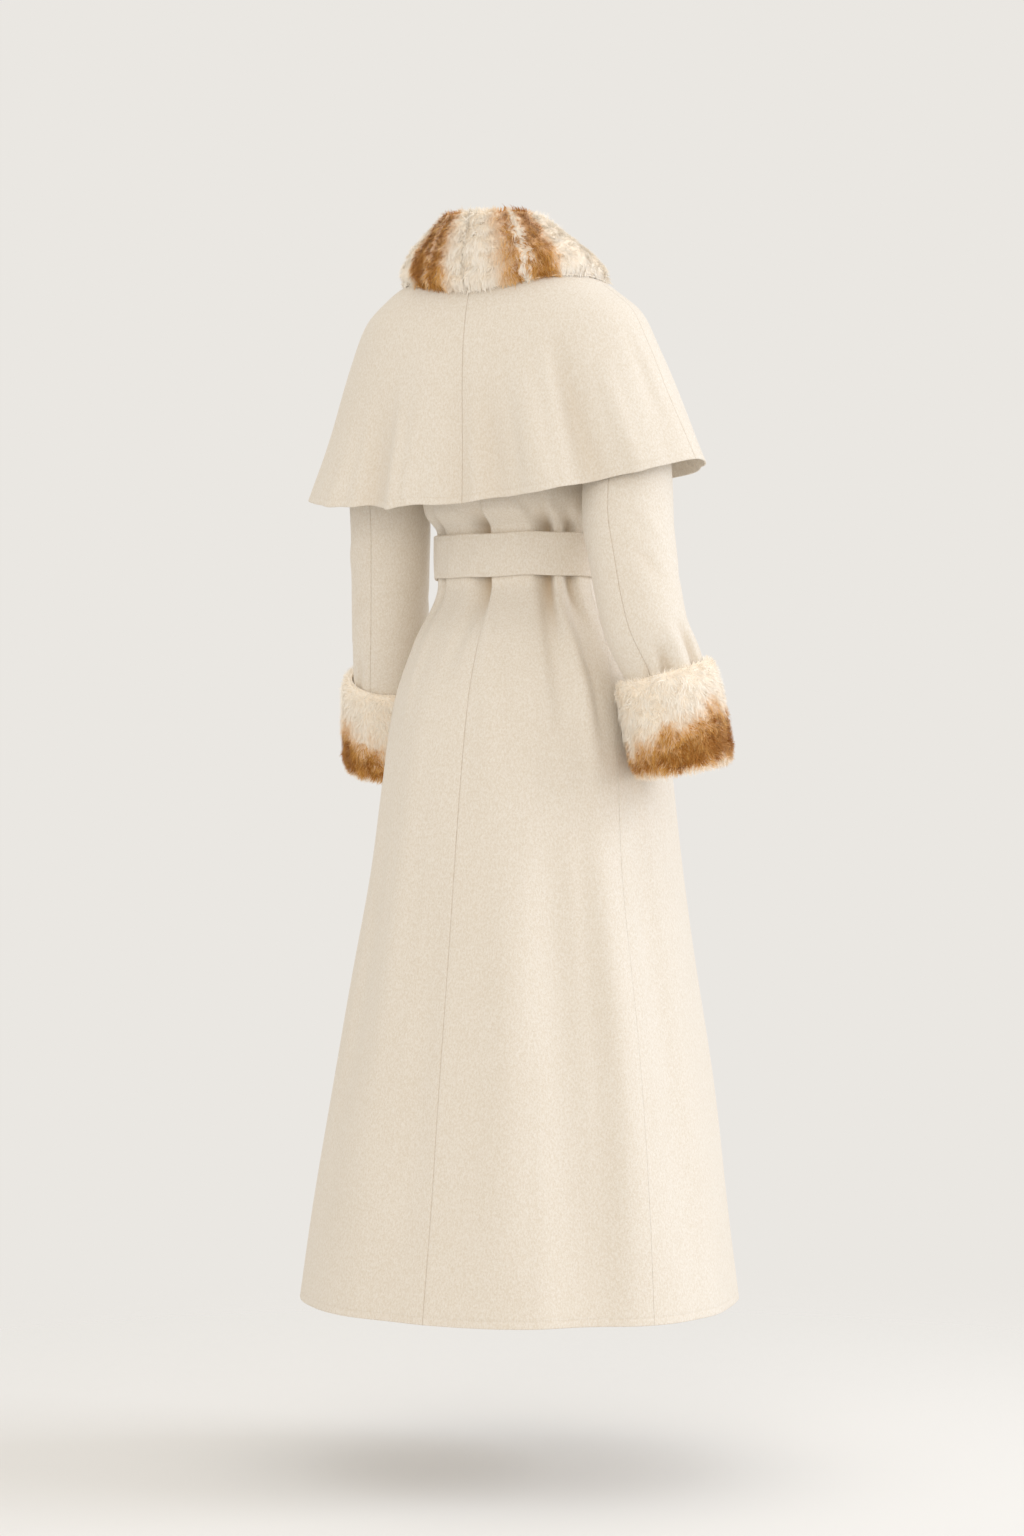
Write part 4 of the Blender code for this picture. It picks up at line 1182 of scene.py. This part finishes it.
# How many hairs and locks stand on a square metre, how much they swirl and how small the swirls are
Growth = namedtuple("Growth", "hair locks swirl swirl_size")
CUFF_GROWTH = Growth(440_000.0, 70_000.0, 0.46, 64.0)
FUR_CREAM = (1.00, 0.95, 0.87, 1.0)
FUR_SHADE = (0.98, 0.89, 0.77, 1.0)
FUR_GOLD = (0.78, 0.44, 0.11, 1.0)
FUR_BROWN = (0.40, 0.155, 0.022, 1.0)


def round_trip(values, count):
    """A closed smooth curve through a loop of values, at evenly shared steps."""
    values = np.asarray(values, float)
    size = len(values)
    place = np.arange(count) * size / count
    i = place.astype(int)
    u = (place - i).reshape((-1,) + (1,) * (values.ndim - 1))
    before, here, there, after = (values[(i + k) % size] for k in (-1, 0, 1, 2))
    return 0.5 * (
        2 * here
        + (there - before) * u
        + (2 * before - 5 * here + 4 * there - after) * u ** 2
        + (3 * here - before - 3 * there + after) * u ** 3
    )


def tufts(points):
    """Where the hair clumps: ridges and hollows some 7 mm apart."""
    x, y, z = (points[..., k] for k in range(3))
    waves = np.sin(430 * x + 2.2 * np.sin(210 * z)) + np.sin(390 * z + 2.0 * np.sin(240 * y + 1.0))
    return (waves + np.sin(410 * y + 1.7 * np.sin(260 * x + 2.0))) / 3.0


def grid_normals(grid, closed_loop):
    """Normals of a grid whose sections are closed and whose loop may be."""
    along = np.roll(grid, -1, axis=0) - np.roll(grid, 1, axis=0)
    if closed_loop:
        beside = np.roll(grid, -1, axis=1) - np.roll(grid, 1, axis=1)
    else:
        beside = np.gradient(grid, axis=1)
    normal = np.cross(beside, along)
    normal = normal / np.maximum(np.linalg.norm(normal, axis=-1, keepdims=True), 1e-9)
    centre = grid.mean(axis=0, keepdims=True)
    if np.sum(normal * (grid - centre)) < 0:
        normal = -normal
    along = along / np.maximum(np.linalg.norm(along, axis=-1, keepdims=True), 1e-9)
    return normal, along


def hair_tree():
    """Hairs on a pelt: slim blades that lean with its comb, swirl with a noise and differ in length."""
    shares = ("Hairs", "Length", "Width", "Curl", "Droop", "Lean", "Swirl", "Swirl size")
    inputs = {"Pelt": "Geometry"} | dict.fromkeys(shares, "Float")
    start, wires = new_tree("hair", inputs | {"Points": "Int", "Seed": "Int", "Fur": "Material"})
    pelt, hairs, length, width, curl, droop, lean, swirl, swirl_size, points, seed, fur = wires

    def value_of(name, kind="FLOAT_VECTOR"):
        return start.add("GeometryNodeInputNamedAttribute", {"data_type": kind}, {"Name": name})

    def keep(geometry, name, value, kind="FLOAT_VECTOR", domain="POINT"):
        return start.add(
            "GeometryNodeStoreNamedAttribute",
            {"data_type": kind, "domain": domain},
            {"Geometry": geometry, "Name": name, "Value": value},
        )

    def vectors(operation, *inputs):
        return start.add("ShaderNodeVectorMath", {"operation": operation}, dict(enumerate(inputs)))

    def scaled(vector, amount):
        return start.add("ShaderNodeVectorMath", {"operation": "SCALE"}, {"Vector": vector, "Scale": amount})

    def axes(vector):
        split = start.add("ShaderNodeSeparateXYZ", {}, {"Vector": vector}).socket.node
        return [Wire(start.tree, socket) for socket in split.outputs]

    def random(kind, low, high):
        limits = {"Min": low, "Max": high, "Seed": seed}
        return start.add("FunctionNodeRandomValue", {"data_type": kind}, limits)

    # Where each hair is rooted, which way it points and how it bends
    hair = value_of("hair", "FLOAT")
    sowing = {"Mesh": pelt, "Density": hairs * hair, "Seed": seed}
    dots = start.add("GeometryNodeDistributePointsOnFaces", {}, sowing)
    kept = keep(dots, "facing", Wire(start.tree, dots.socket.node.outputs["Normal"]))
    kept = keep(kept, "own", random("FLOAT", 0.0, 1.0), "FLOAT")
    cloud = start.add("GeometryNodeInputPosition").noise(swirl_size, detail=1.0, output="Color")
    around = vectors("SUBTRACT", cloud, (0.5, 0.5, 0.5))
    facing = value_of("facing")
    long = length * hair * random("FLOAT", SHORTEST_HAIR, LONGEST_HAIR)
    sideways = scaled(vectors("CROSS_PRODUCT", facing, around), curl * long)
    kept = keep(kept, "bend", vectors("SUBTRACT", sideways, scaled(facing, droop * long)))
    leaning = vectors("ADD", facing, scaled(value_of("comb"), lean))
    swirled = vectors("ADD", leaning, scaled(around, swirl))
    ruffled = scaled(random("FLOAT_VECTOR", (-1,) * 3, (1,) * 3), HAIR_RUFFLE)
    pointing = vectors("ADD", swirled, ruffled)
    turned = start.add("FunctionNodeAlignRotationToVector", {"axis": "Z"}, {"Vector": pointing})
    flat_on = {"Rotation": turned, "Vector": facing}
    turned = start.add("FunctionNodeAlignRotationToVector", {"axis": "Y", "pivot_axis": "Z"}, flat_on)

    # One blade, a unit long, narrowing to its tip
    squares = {"Size X": 1.0, "Size Y": 1.0, "Vertices X": 2, "Vertices Y": points}
    sheet = start.add("GeometryNodeMeshGrid", {}, squares)
    aside, along, _ = axes(start.add("GeometryNodeInputPosition"))
    risen = along + 0.5
    narrowed = aside * width * (HAIR_TAPER * risen - 1.0)
    blade_place = start.add("ShaderNodeCombineXYZ", {}, {"X": narrowed, "Z": risen})
    blade = start.add("GeometryNodeSetPosition", {}, {"Geometry": sheet, "Position": blade_place})
    blade = keep(blade, "blade", start.add("GeometryNodeInputPosition"))

    size = start.add("ShaderNodeCombineXYZ", {}, {"X": long, "Y": long, "Z": long})
    growing = {"Points": kept, "Instance": blade, "Rotation": turned, "Scale": size}
    grown = start.add("GeometryNodeInstanceOnPoints", {}, growing)
    solid = start.add("GeometryNodeRealizeInstances", {}, {"Geometry": grown})
    across, _, risen = axes(value_of("blade"))
    bent = scaled(value_of("bend"), risen * risen)
    curled = start.add("GeometryNodeSetPosition", {}, {"Geometry": solid, "Offset": bent})
    patch = start.add("ShaderNodeCombineXYZ", {}, {"X": 0.004 * across, "Y": 0.0012 * risen})
    mapped = keep(curled, "OFBake", vectors("ADD", value_of("OFBake"), patch), "FLOAT2", "CORNER")
    return finished_tree(start.add("GeometryNodeSetMaterial", {}, {"Geometry": mapped, "Material": fur}))


HAIR = hair_tree()


def fur_finish(name, browned):
    """Hair that goes from cream through gold to brown where browned says, each hair in a tone of its own."""
    material, start, shader = new_finish(
        name, Sheen_Weight=0.20, Sheen_Tint=(1.0, 0.92, 0.80, 1.0), Specular_IOR_Level=0.2, Roughness=0.75
    )
    root = start.stored("root", output="Vector")
    own = start.stored("own") - 0.5
    brown = browned(start, root)
    fine = root.noise(scale=300.0, detail=3.0)
    broad = root.noise(scale=95.0, detail=2.0)
    cream = (0.5 * fine + 0.5 * broad + 0.30 * own).between(0.30, 0.60).blend(FUR_SHADE, FUR_CREAM)
    golden = (brown + 0.70 * own * brown).between(0.03, 0.80).blend(cream, FUR_GOLD)
    patchy = brown + (1.00 * (broad - 0.5) + 0.60 * (fine - 0.5) + 0.45 * own) * brown
    patchy.between(0.48, 1.05).blend(golden, FUR_BROWN).into(shader, "Base Color")
    return material


def cuff_browned(start, place):
    """Brown below a wavy, slanting line, and pale again at the rim."""
    down = start.stored("down")
    slant = start.stored("slant")
    cloud = place.noise(scale=38.0, detail=3.0)
    swirl = place.noise(scale=120.0, detail=3.0, distortion=1.2)
    edge = down + 0.50 * (cloud - 0.5) + 0.30 * (swirl - 0.5) + 0.16 * slant
    rim = (down + 0.30 * (cloud - 0.5)).between(0.86, 1.00)
    return edge.between(0.33, 0.93) * (1.0 - 0.80 * rim)


def dress_fur(node, pelt, finish, growth, seed):
    """A finished fur piece: a pelt with hairs and locks grown on it, in place of a solid."""
    pelt.data.materials.append(finish)
    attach(pelt, "root")
    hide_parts(node)
    for kind in HAIR_KINDS:
        values = {
            "Hairs": getattr(growth, kind.part),
            "Length": kind.length,
            "Width": kind.width,
            "Curl": kind.curl,
            "Droop": kind.droop,
            "Lean": kind.lean,
            "Swirl": kind.swirl * growth.swirl,
            "Swirl size": growth.swirl_size,
            "Points": kind.points,
            "Seed": seed + kind.seed,
            "Fur": finish,
        }
        piece = grown_mesh(node + "_" + kind.part, pelt, HAIR, values)
        piece.data.shade_smooth()
        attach(piece, "root")


CUFF_FUR = fur_finish("cuff_fur", cuff_browned)
cuff_along = np.clip(round_trip([point.along for point in CUFF_SECTION], CUFF_POINTS), 0.0, 1.0)
cuff_fur = np.maximum(round_trip([point.fur for point in CUFF_SECTION], CUFF_POINTS), CUFF_GAP)
cuff_turns = np.arange(CUFF_COLUMNS) * 360.0 / CUFF_COLUMNS
down, turns = np.meshgrid(cuff_along, cuff_turns, indexing="ij")
fur, _ = np.meshgrid(cuff_fur, cuff_turns, indexing="ij")
hairy = ease(CUFF_GAP, HAIR_FULL, fur)
flat_side = np.sqrt(np.sin(np.pi * down))
inset = HAIR_LENGTH * hairy * (RIM_INSET + FACE_INSET * flat_side)
combed = hairy * (RIM_COMB + (1.0 - RIM_COMB) * flat_side)
for side, sign, arm, seed in (("left", 1.0, LEFT_ARM, 11), ("right", -1.0, RIGHT_ARM, 12)):
    face = round_arm(arm, sign, turns, CUFF_TOP + (CUFF_FOOT - CUFF_TOP) * down, fur)
    normal, along = grid_normals(face, closed_loop=True)
    tufted = TUFT_DEPTH * hairy * (1 - tufts(face))
    pelt_points = face - normal * (inset + tufted)[..., None]
    values = {
        "hair": hairy,
        "comb": along * combed[..., None],
        "down": down,
        "slant": np.sin(np.radians(turns - 180.0)),
        "root": pelt_points,
    }
    pelt = tube_object("cuff_%s_pelt" % side, pelt_points, values, closed_loop=True)
    sleeve = "sleeve_%s_upper" % side
    dress_fur("cuff_" + side, pelt, CUFF_FUR, CUFF_GROWTH, seed)


# Fur collar
# A stand-and-fall collar of the same fur in two halves, sewn at the back centre and into the neck seam over
# the cape. A golden-brown stripe of the pelt runs down each half, parted by a line of white tufts.

Crest = namedtuple("Crest", "angle z out thickness")
COLLAR_CREST = (
    Crest(0, 0.070, 0.017, 0.0130),
    Crest(45, 0.071, 0.010, 0.0125),
    Crest(75, 0.066, 0.006, 0.0120),
    Crest(105, 0.045, 0.008, 0.0125),
    Crest(125, 0.021, 0.010, 0.0125),
    Crest(150, -0.024, 0.010, 0.0120),
    Crest(172, -0.056, 0.010, 0.0110),
)
COLLAR_ROWS = (0.019, 0.037)
COLLAR_STAND = 0.0065
COLLAR_STAND_RISE = 0.0015
COLLAR_STAND_TOP = 0.55           # where the stand ends, as a share of the way up to the crest
CREST_HALF_WIDTH = 0.009
CREST_INNER_DROP = 0.006
CREST_OUTER_DROP = 0.008
COLLAR_BULGE = 0.012
COLLAR_GROWTH = Growth(540_000.0, 75_000.0, 0.72, 82.0)
COLLAR_COLUMNS = 96
COLLAR_POINTS = 70
COLLAR_INSET = 0.45               # how deep the pelt lies under the hair, as a share of its length
COLLAR_TUFT_DEPTH = 0.0010
COLLAR_END = 0.72                 # how slim the pelt is at its front end, and over how many degrees
COLLAR_END_TURN = 5.0
FULLEST_TURN = -12.0              # where round the neck the hair is longest, and how far that reaches
FULLEST_REACH = 75.0
SEAM_COMB = 0.6                   # how strongly hair beside the back seam is combed over it, and how near
SEAM_COMB_REACH = 0.003


def collar_browned(start, place):
    """One stripe on each half, ragged at its edges and parted by white tufts."""
    signed = start.stored("round")
    on_left = start.maths("GREATER_THAN", signed, 0.0)
    turn = start.maths("ABSOLUTE", signed) + 6.0 * on_left
    ragged = place.noise(scale=60.0, detail=3.0)
    tuft = place.noise(scale=150.0, detail=2.0, distortion=1.0)
    wandering = turn + 12.0 * (ragged - 0.5) + 6.0 * (tuft - 0.5)
    stripe = wandering.between(7.0, 37.0) * (1.0 - (wandering + 8.0 * on_left).between(48.0, 61.0))
    from_parting = turn - 36.0 + 3.0 * on_left + 16.0 * (ragged - 0.5) + 8.0 * (tuft - 0.5)
    parting = start.maths("ABSOLUTE", from_parting)
    white = (1.0 - parting.between(1.5, 6.0)) * tuft.between(0.36, 0.50) * (1.0 - 0.4 * on_left)
    return (0.80 + 0.40 * on_left) * stripe * (1.0 - 0.95 * white)


def collar_section(angle):
    """The loop of points round the collar at each angle, from the neck over the crest and back underneath."""
    up = np.array((0.0, 0.0, 1.0))
    knots = [row.angle for row in COLLAR_CREST]
    round_turn = np.abs(angle)
    crest_z = column(COLLAR_CREST, "z", knots, round_turn)
    crest_out = column(COLLAR_CREST, "out", knots, round_turn)
    fur = column(COLLAR_CREST, "thickness", knots, round_turn)[:, None]
    rim = cape_point(angle, 0.0 * angle)
    plan_out = on_rings(CAPE_RINGS, angle, 0.0 * angle)[1]
    rim_out = facing_out(cape_point, angle, 0.0 * angle + 0.0006)
    low_out = facing_out(cape_point, angle, COLLAR_ROWS[-1] + 0.0 * angle)
    stand = rim - plan_out * COLLAR_STAND + up * COLLAR_STAND_RISE
    seat = rim + (rim_out + up) * LAID_GAP
    laid = []
    for row in COLLAR_ROWS:
        depth = row + 0.0 * angle
        laid.append(cape_point(angle, depth) + facing_out(cape_point, angle, depth) * LAID_GAP)
    stand_top = stand - plan_out * 0.001 + up * (COLLAR_STAND_TOP * (crest_z - rim[:, 2]))[:, None]
    crest = rim + plan_out * crest_out[:, None]
    crest[:, 2] = crest_z
    crest_inner = crest - plan_out * CREST_HALF_WIDTH - up * CREST_INNER_DROP
    crest_outer = crest + plan_out * CREST_HALF_WIDTH - up * CREST_OUTER_DROP
    low_outer = laid[1] + low_out * fur
    upper = 0.5 * (crest_outer + low_outer) + plan_out * COLLAR_BULGE
    lower = 0.25 * upper + 0.75 * low_outer + plan_out * 0.35 * COLLAR_BULGE
    foot = laid[1] + low_out * fur * 0.4 + (low_outer - upper) * 0.08
    under = (foot, laid[1], 0.5 * (laid[0] + laid[1]), laid[0], 0.5 * (seat + laid[0]), seat, stand)
    return np.stack((stand_top, crest_inner, crest, crest_outer, upper, lower, low_outer) + under)


# How much hair each point of that loop carries: none underneath, where the collar lies on the cape
COLLAR_HAIRY = (0.80, 0.95, 1.0, 1.0, 1.0, 1.0, 1.05, 1.0, 0.3, 0.0, 0.0, 0.0, 0.0, 0.35)
COLLAR_FUR = fur_finish("collar_fur", collar_browned)


for side, sign, seed in (("left", 1.0, 21), ("right", -1.0, 22)):
    first = seam_turn(cape_point, np.zeros(1), np.zeros(1))[0]
    angle = sign * np.linspace(first, CAPE_FRONT_EDGE, COLLAR_COLUMNS)
    face = round_trip(collar_section(angle), COLLAR_POINTS)
    normal, along = grid_normals(face, closed_loop=False)
    fuller = 0.95 + 0.10 * bump(angle - FULLEST_TURN, FULLEST_REACH)
    hairy = np.clip(round_trip(COLLAR_HAIRY, COLLAR_POINTS), 0.0, 1.6)[:, None] * fuller
    pelted = np.minimum(hairy, 1.0)
    inset = COLLAR_INSET * HAIR_LENGTH * pelted + COLLAR_TUFT_DEPTH * pelted * (1 - tufts(face))
    pelt_points = face - normal * inset[..., None]
    centre = pelt_points.mean(axis=0, keepdims=True)
    closing = ease(0.0, COLLAR_END_TURN, CAPE_FRONT_EDGE - np.abs(angle))[None, :]
    pelt_points = centre + (pelt_points - centre) * (COLLAR_END + (1.0 - COLLAR_END) * closing)[..., None]
    to_seam = np.linalg.norm(face - face[:, :1], axis=-1)
    over_seam = -sign * SEAM_COMB * np.exp(-(to_seam / SEAM_COMB_REACH) ** 2)
    values = {
        "hair": hairy,
        "comb": along + over_seam[..., None] * np.array((1.0, 0.0, 0.0)),
        "round": angle[None, :] + 0.0 * hairy,
        "root": pelt_points,
    }
    pelt = tube_object("collar_%s_pelt" % side, pelt_points, values, closed_loop=False)
    cape = "cape_back_" + side
    dress_fur("collar_" + side, pelt, COLLAR_FUR, COLLAR_GROWTH, seed)


# Studio
# A plain pale floor that fades into plain bright air, with a broad soft light from the right, a warm fill
# from beside the camera and a weak light from above.

FLOOR_Z = -1.580
FLOOR_REACH = 3.2
FLOOR_FADES_FROM = 0.3
FLOOR_FADES_TO = 2.1
LIGHT_AIM = np.array((0.0, 0.0, -0.6))
CAMERA_TURN = np.radians(207.0)
CAMERA_REACH = 4.77
CAMERA_AIM_Z = -0.654
CAMERA_SLIDE = 0.0141
towards_camera = np.array((np.sin(CAMERA_TURN), -np.cos(CAMERA_TURN), 0.0))
image_right = np.array((np.cos(CAMERA_TURN), np.sin(CAMERA_TURN), 0.0))


def studio_floor():
    """A floor of pale paper that fades into the air all round, so that no wall stands behind the coat."""
    corners = [(FLOOR_REACH * x, FLOOR_REACH * y, 0.0) for x, y in ((-1, -1), (1, -1), (1, 1), (-1, 1))]
    mesh = bpy.data.meshes.new("studio_floor")
    mesh.from_pydata(corners, [], [(0, 1, 2, 3)])
    floor = placed("studio_floor", mesh)
    floor.location = (0.0, 0.0, FLOOR_Z)
    pale = (0.835, 0.822, 0.800, 1.0)
    material, start, shader = new_finish("studio_paper", Base_Color=pale, Roughness=0.95)
    place = start.add("ShaderNodeTexCoord", output="Object")
    away = start.add("ShaderNodeVectorMath", {"operation": "LENGTH"}, {"Vector": place}, output="Value")
    (1.0 - away.between(FLOOR_FADES_FROM, FLOOR_FADES_TO)).into(shader, "Alpha")
    mesh.materials.append(material)
    return floor


studio_floor()


def soft_light(name, across, towards, height, size, power, tint, aim_towards=0.0):
    """A square light placed as the camera sees it: across the picture, towards the camera and up."""
    data = bpy.data.lights.new(name, "AREA")
    data.size = size
    data.energy = power
    data.color = tint
    light = placed(name, data)
    place = across * image_right + towards * towards_camera
    light.location = (place[0], place[1], height)
    aim = aim_towards * towards_camera + LIGHT_AIM - np.array(light.location)
    light.rotation_euler = Vector(aim).to_track_quat("-Z", "Y").to_euler()


cool = (0.935, 1.0, 1.120)
warm = (1.0, 0.925, 0.820)
plain = (1.0, 0.985, 0.960)
soft_light("key", across=5.4, towards=0.5, height=1.3, size=3.4, power=166.0, tint=cool, aim_towards=1.8)
soft_light("fill", across=-1.2, towards=5.6, height=0.6, size=3.0, power=70.0, tint=warm)
soft_light("top", across=0.2, towards=1.4, height=2.8, size=3.0, power=12.0, tint=plain)
world = bpy.data.worlds.new("studio_air")
world.use_nodes = True
air = world.node_tree.nodes["Background"]
air.inputs["Color"].default_value = (1.0, 0.971, 0.925, 1.0)
air.inputs["Strength"].default_value = 0.823
bpy.context.scene.world = world
bpy.context.scene.view_settings.view_transform = "Standard"

camera_data = bpy.data.cameras.new("camera")
camera_data.lens = 85.0
camera_data.sensor_fit = "VERTICAL"
camera_data.sensor_height = 36.0
camera = placed("camera", camera_data)
seat_place = CAMERA_REACH * towards_camera + CAMERA_SLIDE * image_right
camera.location = (seat_place[0], seat_place[1], CAMERA_AIM_Z)
camera.rotation_euler = (0.5 * np.pi, 0.0, CAMERA_TURN)
bpy.context.scene.camera = camera
